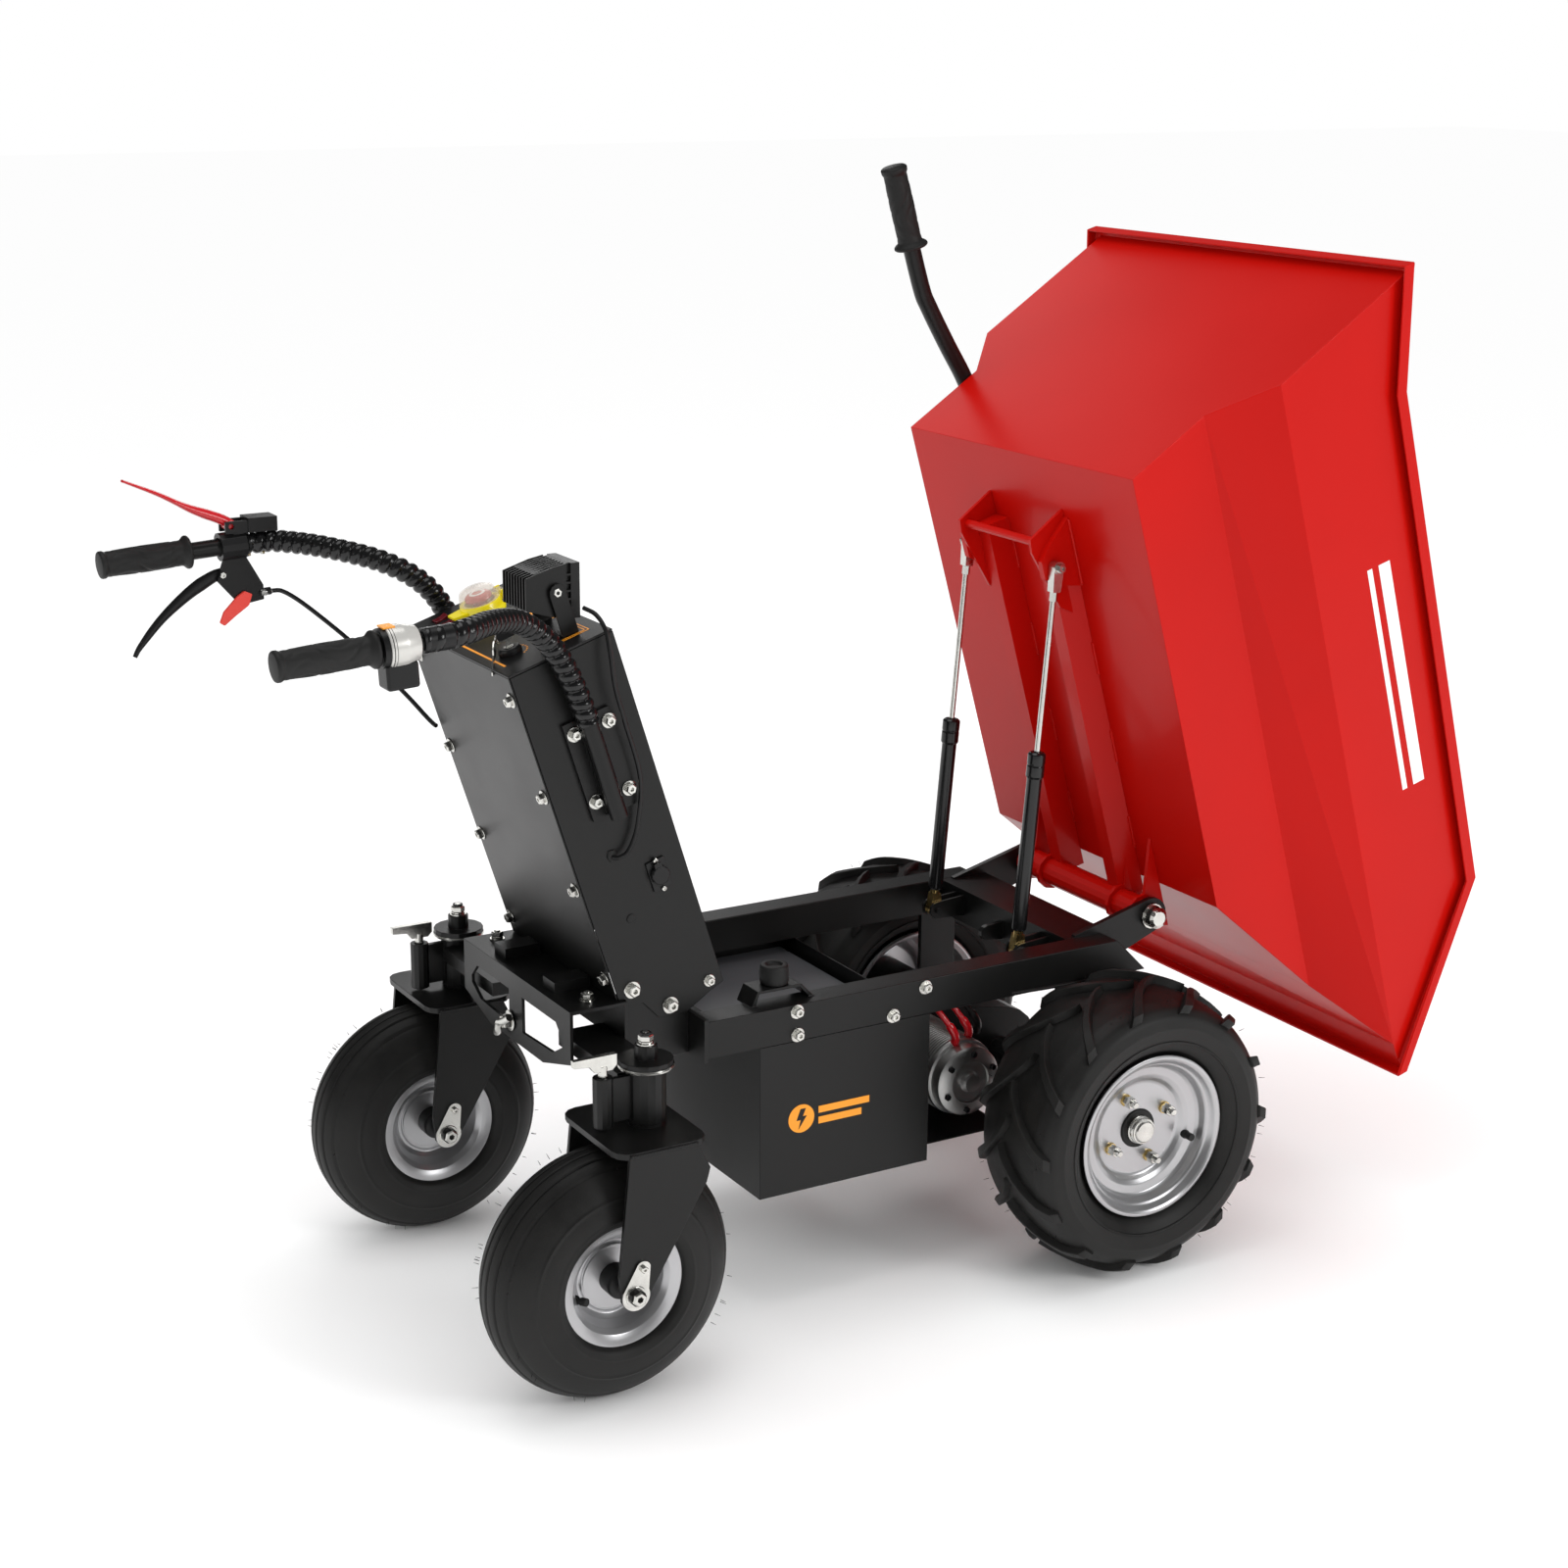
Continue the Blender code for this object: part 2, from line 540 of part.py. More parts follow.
# ---------------------------------------------------------------- console tower, in the tower frame
def ground_cut(u, level):
    """Height along the tower where the level plane cuts it, at depth u."""
    lean = math.radians(TOWER_LEAN)
    return (level - TOWER_FOOT[1] - u * math.sin(lean)) / math.cos(lean)


def tower_point(x, z):
    """A chassis point (x, z) in the tower's own (u, w)."""
    lean = math.radians(TOWER_LEAN)
    dx, dz = x - TOWER_FOOT[0], z - TOWER_FOOT[1]
    return (dx * math.cos(lean) + dz * math.sin(lean), -dx * math.sin(lean) + dz * math.cos(lean))


def tower_shell():
    """Front sheet and both side sheets, with the bolting flanges that overlap the foot plates."""
    level = CHANNEL_TOP + 0.0008
    front = [(0.0, ground_cut(0.0, level)), (0.0, TOWER_H), (-SHEET, TOWER_H),
             (-SHEET, ground_cut(-SHEET, level))]
    shell = prism("tower_shell", front, "y", -TOWER_W, TOWER_W, "frame_black", TOWER)
    for side in (LEFT, RIGHT):
        outline = [(0.0, ground_cut(0.0, level)), (0.0, TOWER_H), (-TOWER_D, TOWER_H),
                   (-TOWER_D, ground_cut(-TOWER_D, level))]
        outline += [tower_point(x, z) for x, z in ((-0.6845, level), (-0.6845, 0.4500), (-0.660, 0.4480),
                                                   (-0.637, 0.4240), (-0.598, 0.4240), (-0.564, 0.4460))]
        add(shell, prism(name_of("add_side", side), outline, "y", *span(side, TOWER_W - SHEET, TOWER_W)))
    u, w = tower_point(-0.701, 0.647)
    grommet = rod("cut_light_grommet", 0.0045, (u, 0, w), "y", *span(RIGHT, 0.150, 0.160), steps=12)
    return cut(shell, grommet)


def tower_rear_cover():
    """Screwed cover over the tower's open rear side."""
    u = -TOWER_D - GAP
    level = CHANNEL_TOP + 0.0008
    outline = [(u, ground_cut(u, level)), (u, TOWER_H), (u - 0.002, TOWER_H),
               (u - 0.002, ground_cut(u - 0.002, level))]
    return prism("tower_rear_cover", outline, "y", -0.1535, 0.1535, "frame_black", TOWER)


PANEL_W0 = TOWER_H + GAP
PANEL_W1 = PANEL_W0 + 0.003
PANEL_MID = -TOWER_D / 2
ROCKERS = ((-0.0355, 0.1280), (-0.0355, 0.1010))      # along and across the panel, from its middle
ESTOP = (0.0050, 0.0800)
KEYSWITCH = (-0.0360, -0.0850)
LIGHT = (0.0330, -0.0800)
COVER_HINGE = (0.0310, 0.0205)         # of the emergency stop's cap: ahead of its middle and up
CAP_HINGE = (0.1634, 0.0150)           # of the charging cap: out from the tower's middle and up


def tower_top_panel():
    """Control panel with two rocker windows."""
    panel = box("tower_top_panel", (-TOWER_D - 0.0025, -TOWER_W, PANEL_W0), (0.0, TOWER_W, PANEL_W1),
                "cover_plastic", TOWER)
    for k, (s, y) in enumerate(ROCKERS):
        u = PANEL_MID + s
        cut(panel, box("cut_rocker%d" % k, (u - 0.0110, y - 0.0075, PANEL_W0 - 0.01),
                       (u + 0.0110, y + 0.0075, PANEL_W1 + 0.01)))
    return panel


def rocker_switch(name, spot):
    """A rocker pressed down at its rear edge, turning about Y at the panel's mid height."""
    s, y = spot
    w = 0.5 * (PANEL_W0 + PANEL_W1)
    outline = [(-0.0095, 0.0045), (0.0, 0.0030), (0.0095, 0.0045), (0.0095, -0.0015),
               (0.0060, -0.0060), (-0.0060, -0.0060), (-0.0095, -0.0015)]
    rocker = prism(name, outline, "y", -0.0066, 0.0066, "signal_red", TOWER)
    rocker.location = (PANEL_MID + s, y, w)
    rocker.rotation_euler = (math.pi / 2, math.radians(-9), 0)
    return rocker


def estop_base():
    """Yellow collar of the emergency stop, with the hasp tab and hinge ears of its cover."""
    u, y, w = PANEL_MID + ESTOP[0], ESTOP[1], PANEL_W1 + GAP
    profile = [(0.0300, 0.0), (0.0310, 0.003), (0.0275, 0.009), (0.0265, 0.018), (0.0200, 0.018),
               (0.0200, 0.004), (0.0100, 0.004), (0.0100, 0.0)]
    base = turned("estop_base", profile, (u, y, w), "z", 16, "estop_yellow", TOWER)
    tab = [(-0.0430, -0.010), (-0.0430, 0.010), (-0.0240, 0.014), (-0.0240, -0.014)]
    tab = [(u + a, y + b) for a, b in tab]
    add(base, prism("add_hasp_tab", tab, "z", w + 0.0105, w + 0.0135))
    for k in (1, -1):
        add(base, box("add_estop_ear%d" % (k + 1), (u + 0.0272, y + k * 0.0105 - 0.0015, w + 0.004),
                      (u + 0.0350, y + k * 0.0105 + 0.0015, w + 0.0230)))
    return base


def estop_button():
    """Mushroom push button."""
    u, y, w = PANEL_MID + ESTOP[0], ESTOP[1], PANEL_W1 + GAP
    profile = [(0, 0.0290), (0.0120, 0.0285), (0.0165, 0.0265), (0.0180, 0.0235), (0.0175, 0.0205),
               (0.0090, 0.0195), (0.0090, 0.0055), (0, 0.0055)]
    return turned("estop_button", profile, (u, y, w), "z", 14, "signal_red", TOWER)


def estop_cover():
    """Clear flip cap about a hinge at the front of the collar."""
    u, y, w = PANEL_MID + ESTOP[0], ESTOP[1], PANEL_W1 + GAP
    ahead, up = COVER_HINGE
    hinge = empty("estop_hinge", (u + ahead, y, w + up), parent=TOWER)
    profile = [(0, 0.0370), (0.0170, 0.0360), (0.0235, 0.0310), (0.0250, 0.0250), (0.0262, 0.0184),
               (0.0240, 0.0184), (0.0230, 0.0245), (0.0218, 0.0295), (0.0160, 0.0342), (0, 0.0350)]
    cover = turned("estop_cover", profile, (-ahead, 0, -up), "z", 16, "clear_plastic", hinge)
    lug = box("add_cover_lug", (0.0245 - ahead, -0.0085, 0.0186 - up), (0.0345 - ahead, 0.0085, 0.0222 - up))
    return add(cover, lug)


def key_switch():
    """Round bezel of the key switch."""
    u, y, w = PANEL_MID + KEYSWITCH[0], KEYSWITCH[1], PANEL_W1 + GAP
    profile = [(0.0150, 0.0), (0.0150, 0.0050), (0.0125, 0.0080), (0.0075, 0.0080), (0.0075, 0.0030),
               (0.0040, 0.0030), (0.0040, 0.0)]
    return turned("key_switch", profile, (u, y, w), "z", 14, "cover_plastic", TOWER)


def ignition_key():
    """Key standing in its barrel; the barrel turns with it."""
    u, y, w = PANEL_MID + KEYSWITCH[0], KEYSWITCH[1], PANEL_W1 + GAP
    barrel = rod("ignition_key", 0.0068, (u, y, w), "z", 0.0035, 0.0085, 14, "zinc", TOWER)
    bow = [(-0.0035, 0.0080), (-0.0035, 0.0150), (-0.0110, 0.0185), (-0.0110, 0.0320), (-0.0050, 0.0370),
           (0.0050, 0.0370), (0.0110, 0.0320), (0.0110, 0.0185), (0.0035, 0.0150), (0.0035, 0.0080)]
    bow = [(u + a, w + b) for a, b in bow]
    add(barrel, prism("add_bow", bow, "y", y - 0.0011, y + 0.0011))
    return cut(barrel, rod("cut_bow_hole", 0.0030, (u, 0, w + 0.0290), "y", y - 0.01, y + 0.01, 10))


def light_bracket():
    """U bracket of the work lamp."""
    u, y, w = PANEL_MID + LIGHT[0], LIGHT[1], PANEL_W1 + GAP
    bracket = box("light_bracket", (u - 0.0110, y - 0.0385, w), (u + 0.0110, y + 0.0385, w + 0.0025),
                  "frame_black", TOWER)
    for k in (1, -1):
        outline = [(u - 0.0110, w), (u + 0.0110, w)] + arc(u, LAMP_W, 0.0110, 0, 180, 6)
        lo, hi = sorted((y + k * 0.0360, y + k * 0.0385))
        add(bracket, prism("add_lamp_arm%d" % (k + 1), outline, "y", lo, hi))
    return bracket


LAMP_W = PANEL_W1 + 0.0560


def work_light():
    """Square LED lamp, narrower at its finned rear, with its side screws."""
    u, y, w = PANEL_MID + LIGHT[0], LIGHT[1], LAMP_W
    lean = math.radians(TOWER_LEAN)
    outline = [(-0.040, -0.020), (-0.040, 0.020), (-0.006, 0.029), (0.020, 0.034), (0.032, 0.034),
               (0.032, -0.034), (0.020, -0.034), (-0.006, -0.029)]
    turn = [(u + a * math.cos(lean) + b * math.sin(lean), w - a * math.sin(lean) + b * math.cos(lean))
            for a, b in outline]
    lamp = prism("work_light", turn, "y", y - 0.0330, y + 0.0330, "aluminium", TOWER)
    add(lamp, rod("add_lamp_screws", 0.0065, (u, 0, w), "y", y - 0.0357, y + 0.0357, 12))
    return hinge_at(lamp, (u, y, w))


def charge_socket():
    """Flange of the charging socket on the tower's right side."""
    u, w = tower_point(-0.637, 0.615)
    y0, y1 = span(RIGHT, TOWER_W + GAP, TOWER_W + 0.003)
    outline = [(u + a, w + b) for a, b in ((-0.0130, -0.0200), (0.0130, -0.0200), (0.0130, 0.0200),
                                           (-0.0130, 0.0200))]
    socket = prism("charge_socket", outline, "y", y0, y1, "cover_plastic", TOWER)
    return add(socket, rod("add_socket_neck", 0.0100, (u, 0, w), "y", -0.1615, -0.1565, 16))


def charge_cap():
    """Round sprung cap over the charging socket, about a hinge above it."""
    u, w = tower_point(-0.637, 0.615)
    out, up = CAP_HINGE
    hinge = empty("charge_hinge", (u, -out, w + up), parent=TOWER)
    profile = [(0, -0.1645), (0.0110, -0.1645), (0.0125, -0.1635), (0.0125, -0.1618), (0, -0.1618)]
    cap = turned("charge_cap", profile, (0, out, -up), "y", 14, "cover_plastic", hinge)
    return add(cap, box("add_cap_hinge", (-0.0050, out - 0.1640, 0.0090 - up), (0.0050, out - 0.1618, 0.0170 - up)))


# ---------------------------------------------------------------- handlebars and controls
def bar_point(x, z):
    """A chassis point (x, z) in the frame of the grips: along the bar, and above its axis."""
    rise = math.radians(BAR_RISE)
    dx, dz = x - GRIP_END, z - BAR_Z
    return (dx * math.cos(rise) + dz * math.sin(rise), -dx * math.sin(rise) + dz * math.cos(rise))


def on_bar(t):
    """Chassis height of the straight bar's axis, t along it from the grip's end, and its x."""
    rise = math.radians(BAR_RISE)
    return GRIP_END + t * math.cos(rise), BAR_Z + t * math.sin(rise)


STRAIGHT = 0.198                # straight length of the bar, from the grip's end


def bar_path(side):
    """Route of one handlebar tube: the straight end, the bend inwards and down the tower's side."""
    (x0, z0), (x1, z1), (x2, z2) = on_bar(0.006), on_bar(STRAIGHT - 0.030), on_bar(STRAIGHT)
    route = [(x1, 0.3150, z1), (x2, 0.3150, z2), (-0.950, 0.3040, 0.987), (-0.900, 0.2560, 0.982),
             (-0.842, 0.2020, 0.966), (-0.797, 0.1800, 0.936), (-0.766, 0.1755, 0.890),
             (-0.740, 0.1750, 0.828)]
    curve = smooth_path(route, 2)
    curve[1] = Vector((0.5 * (x1 + x2), 0.3150, 0.5 * (z1 + z2)))
    points = [Vector((x0, 0.3150, z0))] + curve + [Vector((-0.700, 0.1750, 0.703))]
    return [Vector((p.x, side * p.y, p.z)) for p in points]


def handlebar(side):
    """Bent tube with the plate that bolts it to the tower's side."""
    tube = bar(name_of("handlebar", side), bar_path(side), BAR_R, "frame_black")
    outline = [(-0.768, 0.8220), (-0.706, 0.8400), (-0.664, 0.7140), (-0.727, 0.6960)]
    add(tube, prism(name_of("add_bar_plate", side), outline, "y", *span(side, TOWER_W + GAP, 0.1600)))
    web = [(-0.747, 0.820), (-0.727, 0.826), (-0.693, 0.712), (-0.713, 0.706)]
    return add(tube, prism(name_of("add_bar_web", side), web, "y", *span(side, 0.1590, 0.1680)))


def bar_wrap(side):
    """Corrugated sleeve over the bent stretch of the handlebar."""
    x, z = on_bar(STRAIGHT + (0.001 if side == LEFT else -0.026))
    points = [Vector((x, side * GRIP_Y, z))] + bar_path(side)[4 if side == LEFT else 3:-1]
    return sleeve(name_of("bar_wrap", side), points, WRAP_R, WRAP_WALL, "cover_plastic")


def grip(name, side):
    """Rubber grip in the bar frame: blind bore, end cap, waist and inner flange."""
    profile = [(0.0, 0.0045), (0.0122, 0.0045), (0.0122, GRIP_LONG), (0.0210, GRIP_LONG),
               (0.0215, GRIP_LONG - 0.003), (0.0175, GRIP_LONG - 0.007), (0.0165, GRIP_LONG - 0.015),
               (0.0172, 0.5 * GRIP_LONG), (0.0160, 0.010), (0.0178, 0.006), (0.0178, 0.002), (0.0160, 0.0),
               (0.0, 0.0)]
    return turned(name, profile, (0, side * GRIP_Y, 0), "x", 14, "grip_rubber", BARS)


def throttle_housing():
    """Twist throttle body beside the right grip, with its switch pod below."""
    y, start = RIGHT * GRIP_Y, GRIP_LONG + 0.003
    profile = [(0.0123, 0.0), (0.0235, 0.0), (0.0240, 0.004), (0.0240, 0.026), (0.0225, 0.030),
               (0.0190, 0.030), (0.0190, 0.046), (0.0123, 0.046)]
    body = turned("throttle_housing", profile, (start, y, 0), "x", 16, "aluminium", BARS)
    return add(body, box("add_pod", (start + 0.0015, y - 0.0150, -0.0475), (start + 0.040, y + 0.0150, -0.0160)))


def brake_bracket():
    """Clamp of the brake lever on the left bar, with its lever lug and cable ferrule."""
    y = LEFT * GRIP_Y
    ring = [(0.0125, 0.0), (0.0185, 0.0), (0.0185, 0.034), (0.0125, 0.034)]
    body = turned("brake_bracket", ring, (STRAIGHT - 0.0415, y, 0), "x", 14, "cover_plastic", BARS)
    lug = [bar_point(x, z) for x, z in ((-1.0180, 0.9700), (-0.9900, 0.9700), (-0.9680, 0.9300),
                                        (-0.9680, 0.9110), (-1.0000, 0.9060), (-1.0290, 0.9400))]
    add(body, prism("add_lever_lug", lug, "y", y - 0.0050, y + 0.0010))
    x, z = bar_point(-0.9700, 0.9200)
    return add(body, rod("add_ferrule", 0.0052, (0, y - 0.0020, z), "x", x - 0.004, x + 0.0120, 10))


LEVER_PIN = (-1.0220, 0.9480)
LATCH_PIN = (-0.9910, 0.9140)
DEADMAN_PIN = (-1.0100, 1.0112)


def brake_lever():
    """Pressed brake lever, hinged below the left bar."""
    y0 = LEFT * GRIP_Y + 0.0013
    blade = [(-1.0120, 0.9400), (-1.0280, 0.9330), (-1.0620, 0.9200), (-1.0980, 0.8900), (-1.1260, 0.8600),
             (-1.1360, 0.8470), (-1.1440, 0.8520), (-1.1380, 0.8680), (-1.1060, 0.9030), (-1.0660, 0.9330),
             (-1.0300, 0.9560), (-1.0150, 0.9570)]
    lever = prism("brake_lever", blade, "y", y0, y0 + 0.0090, "cover_plastic")
    return hinge_at(lever, (LEVER_PIN[0], 0, LEVER_PIN[1]))


def park_latch():
    """Small red latch that holds the brake lever pulled."""
    y0 = LEFT * GRIP_Y - 0.0053
    outline = [(-0.9850, 0.9200), (-0.9950, 0.9250), (-1.0060, 0.9180), (-1.0240, 0.9000), (-1.0300, 0.8860),
               (-1.0240, 0.8820), (-1.0080, 0.8940), (-0.9900, 0.9060)]
    latch = prism("park_latch", outline, "y", y0 - 0.0045, y0, "latch_red")
    return hinge_at(latch, (LATCH_PIN[0], 0, LATCH_PIN[1]))


def switch_box():
    """Presence switch on top of the left bar, with two cheeks for the red lever."""
    y, z = LEFT * GRIP_Y, 1.0016
    body = box("switch_box", (-0.9883, y - 0.0160, z), (-0.9490, y + 0.0160, z + 0.0190), "cover_plastic")
    for k in (1, -1):
        lo, hi = sorted((y + k * 0.0100, y + k * 0.0140))
        add(body, box("add_cheek%d" % (k + 1), (-1.0180, lo, z), (-0.9870, hi, z + 0.0160)))
        cut(body, rod("cut_cheek%d" % (k + 1), 0.0037, (DEADMAN_PIN[0], 0, DEADMAN_PIN[1]), "y", lo - 0.001,
                      hi + 0.001, 12))
    return body


def deadman_lever():
    """Red presence lever: a hub with pin ends between the cheeks, and a blade over the left grip."""
    y, (x, z) = LEFT * GRIP_Y, DEADMAN_PIN
    blade = [(x - 0.0020, z + 0.0060), (x + 0.0040, z - 0.0020), (x - 0.0500, z + 0.0230),
             (x - 0.0900, z + 0.0470), (x - 0.1330, z + 0.0660), (x - 0.1350, z + 0.0690),
             (x - 0.0900, z + 0.0520), (x - 0.0500, z + 0.0290)]
    lever = prism("deadman_lever", blade, "y", y - 0.0085, y + 0.0085, "signal_red")
    add(lever, rod("add_hub", 0.0070, (x, 0, z), "y", y - 0.0095, y + 0.0095, 12),
        rod("add_hub_pin", 0.0030, (x, 0, z), "y", y - 0.0135, y + 0.0135, 10))
    return hinge_at(lever, (x, 0, z))


def brake_cable():
    """Brake cable from the lever's ferrule to the tower's left side, held at both ends."""
    y = LEFT * GRIP_Y - 0.0020
    route = [(-0.9555, y, 0.9205), (-0.9420, y, 0.9185), (-0.9220, 0.3050, 0.9050), (-0.8950, 0.2880, 0.8800),
             (-0.8690, 0.2650, 0.8530), (-0.8440, 0.2350, 0.8220), (-0.8190, 0.2000, 0.7880),
             (-0.8040, 0.1740, 0.7640), (-0.7990, 0.1610, 0.7560), (-0.7980, 0.1556, 0.7550)]
    return cable("brake_cable", smooth_path(route, 3), 0.0030, "grip_rubber")


def light_cable():
    """Lamp cable from the bracket down the tower's right side to its grommet."""
    route = [(-0.7205, -0.1260, 0.9560), (-0.7130, -0.1450, 0.9500), (-0.7100, -0.1640, 0.9340),
             (-0.7080, -0.1725, 0.9050), (-0.7030, -0.1735, 0.8660), (-0.6910, -0.1735, 0.8230),
             (-0.6690, -0.1700, 0.7500), (-0.6700, -0.1660, 0.6900), (-0.6820, -0.1650, 0.6560),
             (-0.6950, -0.1630, 0.6470), (-0.7010, -0.1580, 0.6470), (-0.7010, -0.1520, 0.6470)]
    return cable("light_cable", smooth_path(route, 2), 0.0028, "grip_rubber")


# ---------------------------------------------------------------- tub, in the tub frame
def tub_xz(x, z):
    """A point of the level tub (from its floor's rear edge) in the tub frame (from the pivot)."""
    return x - TUB_BACK, z + TUB_LIFT


def tub_shell():
    """Sheet tub: floor, shouldered sides, sloping back and pouring chute, with a turned rim."""
    def pt(x, y, z):
        a, b = tub_xz(x, z)
        return (a, y, b)

    rows = []
    for s in (LEFT, RIGHT):
        rows.append([pt(0, s * FLOOR_Y, 0), pt(FLOOR_X, s * FLOOR_Y, 0),
                     pt(BACK_SLOPE * SHOULDER_Z, s * FLOOR_Y, SHOULDER_Z),
                     pt(FLOOR_X + CHUTE_SLOPE * SHOULDER_Z, s * FLOOR_Y, SHOULDER_Z),
                     pt(BACK_SLOPE * WALL_Z, s * WALL_Y, WALL_Z),
                     pt(FLOOR_X + CHUTE_SLOPE * WALL_Z, s * WALL_Y, WALL_Z),
                     pt(BACK_SLOPE * BACK_Z, s * WALL_Y, BACK_Z),
                     pt(RIM_REAR[0], s * WALL_Y, RIM_REAR[1]),
                     pt(RIM_FRONT[0], s * WALL_Y, RIM_FRONT[1]),
                     pt(LIP[0], s * WALL_Y, LIP[1])])
    verts = rows[0] + rows[1]
    n = len(rows[0])
    faces = [(0, 1, 1 + n, n), (0, 2, 2 + n, n), (2, 4, 4 + n, 2 + n), (4, 6, 6 + n, 4 + n),
             (1, 3, 3 + n, 1 + n), (3, 5, 5 + n, 3 + n), (5, 9, 9 + n, 5 + n)]
    for o in (0, n):
        faces += [(o, o + 1, o + 3, o + 2), (o + 2, o + 3, o + 5, o + 4),
                  (o + 4, o + 5, o + 9, o + 8, o + 7, o + 6)]
    rim = [6, 7, 8, 9, 9 + n, 8 + n, 7 + n, 6 + n]
    push = {6: (-1, 1), 7: (0, 1), 8: (0, 1), 9: (1, 1)}
    outer, lower = [], []
    for i in rim:
        s = 1 if i < n else -1
        dx, dy = push[i % n]
        x, y, z = verts[i]
        outer.append((x + dx * RIM_OUT, y + s * dy * RIM_OUT, z))
        lower.append((x + dx * RIM_OUT, y + s * dy * RIM_OUT, z - RIM_DROP))
    base = len(verts)
    verts += outer + lower
    m = len(rim)
    for k in range(m):
        j = (k + 1) % m
        faces.append((rim[k], rim[j], base + j, base + k))
        faces.append((base + k, base + j, base + m + j, base + m + k))
    tub = loft("tub_shell", verts, faces, "tub_red", TUB)
    wall = tub.modifiers.new("sheet", "SOLIDIFY")
    wall.thickness, wall.offset, wall.use_even_offset, wall.use_rim = TUB_T, 1.0, True, True
    return tub


def tub_underframe():
    """Two floor channels, the pivot tube between its lugs, and the ears of the gas struts."""
    gap = -GAP
    bore_y = 0.1455
    px, pz = 0.0, 0.0
    tube = rod("tub_underframe", 0.0205, (px, 0, pz), "y", -bore_y, bore_y, 16, "tub_red", TUB)
    for side in (LEFT, RIGHT):
        x0, z0 = tub_xz(0.105, gap)
        x1, _ = tub_xz(0.655, gap)
        z1 = z0 - 0.034
        outline = [(side * 0.052, z0), (side * 0.092, z0), (side * 0.082, z1), (side * 0.056, z1)]
        add(tube, prism(name_of("add_channel", side), outline, "x", x0, x1))
        lug = [tub_xz(0.530, gap), tub_xz(0.690, gap)] + arc(px, pz, 0.0270, 20, -200, 7)
        add(tube, prism(name_of("add_lug_in", side), lug, "y", *span(side, 0.0810, 0.0870)))
        plate = [tub_xz(0.560, gap), tub_xz(0.700, gap)] + arc(px, pz, 0.0250, 20, -200, 7)
        add(tube, prism(name_of("add_lug_out", side), plate, "y", *span(side, 0.1290, 0.1350)))
        gable = [tub_xz(0.070, gap), tub_xz(0.230, gap), tub_xz(0.200, -0.036), tub_xz(0.110, -0.062),
                 tub_xz(0.092, -0.060)]
        add(tube, prism(name_of("add_gable", side), gable, "y", *span(side, 0.0820, 0.0870)))
        ear = [tub_xz(0.080, gap), tub_xz(0.180, gap), tub_xz(0.164, -0.040), tub_xz(0.150, -0.056),
               tub_xz(0.124, -0.056), tub_xz(0.108, -0.040)]
        add(tube, prism(name_of("add_ear", side), ear, "y", *span(side, 0.0865, 0.0965)))
    x, z = tub_xz(0.101, -0.048)
    add(tube, rod("add_spreader", 0.0060, (x, 0, z), "y", -0.0840, 0.0840, 12))
    return cut(tube, rod("cut_pivot_bore", 0.0112, (px, 0, pz), "y", -0.2, 0.2, 16))


def tub_handle():
    """Lifting handle on the tub's left side, with its grip."""
    y = 0.2785
    route = [(0.120, 0.1210), (0.010, 0.1210), (-0.032, 0.1150), (-0.090, 0.0985), (-0.150, 0.0830),
             (-0.180, 0.0780), (-0.262, 0.0765), (-0.350, 0.0765)]
    points = [Vector((tub_xz(a, b)[0], y, tub_xz(a, b)[1])) for a, b in route]
    handle = bar("tub_handle", points, 0.0125, "frame_black", TUB)
    gx, gz = tub_xz(-0.3588, 0.0765)
    profile = [(0, 0.1180), (0.0240, 0.1180), (0.0245, 0.1140), (0.0185, 0.1100), (0.0172, 0.1000),
               (0.0178, 0.0600), (0.0165, 0.0120), (0.0190, 0.0060), (0.0170, 0.0), (0, 0.0)]
    add(handle, turned("add_handle_grip", profile, (gx, y, gz), "x", 12))
    (x0, z0), (x1, z1) = tub_xz(0.010, 0.090), tub_xz(0.110, 0.1255)
    return add(handle, box("add_handle_plate", (x0, FLOOR_Y + GAP, z0), (x1, 0.2690, z1)))


# ---------------------------------------------------------------- gas struts
def strut_ends():
    """Lower and upper pivot of a strut in the chassis frame, as (x, z)."""
    x, z = tub_xz(0.1358, -0.0400)
    tip = math.radians(TIP)
    up = (PIVOT[0] + x * math.cos(tip) + z * math.sin(tip), PIVOT[1] - x * math.sin(tip) + z * math.cos(tip))
    return FOOT_PIN, up


def strut_frame():
    """Empty at the lower pivot whose +Z runs up the strut, and the strut's length."""
    (x0, z0), (x1, z1) = strut_ends()
    lean = math.degrees(math.atan2(x1 - x0, z1 - z0))
    return empty("strut_frame", (x0, 0, z0), lean, CHASSIS), math.hypot(x1 - x0, z1 - z0)


STRUT, STRUT_L = strut_frame()
CYL_TOP, CYL_R = 0.283, 0.0105


def strut_cylinder(side):
    """Gas cylinder with its lower eye, open at the top for the rod."""
    y = side * STRUT_Y
    profile = [(0, 0.018), (0.0070, 0.018), (0.0070, 0.028), (CYL_R, 0.030), (CYL_R, CYL_TOP - 0.036),
               (0.0125, CYL_TOP - 0.034), (0.0125, CYL_TOP - 0.001), (0.0115, CYL_TOP),
               (0.0054, CYL_TOP), (0.0054, 0.035), (0, 0.035)]
    body = turned(name_of("strut_cylinder", side), profile, (0, y, 0), "z", 12, "frame_black", STRUT)
    eye = [(-0.0065, 0.024), (0.0065, 0.024)] + arc(0, 0, 0.0105, 20, -200, 8)
    add(body, prism(name_of("add_low_eye", side), eye, "y", y - 0.0070, y + 0.0070))
    return cut(body, rod(name_of("cut_low_eye", side), 0.0045, (0, 0, 0), "y", y - 0.02, y + 0.02, 12))


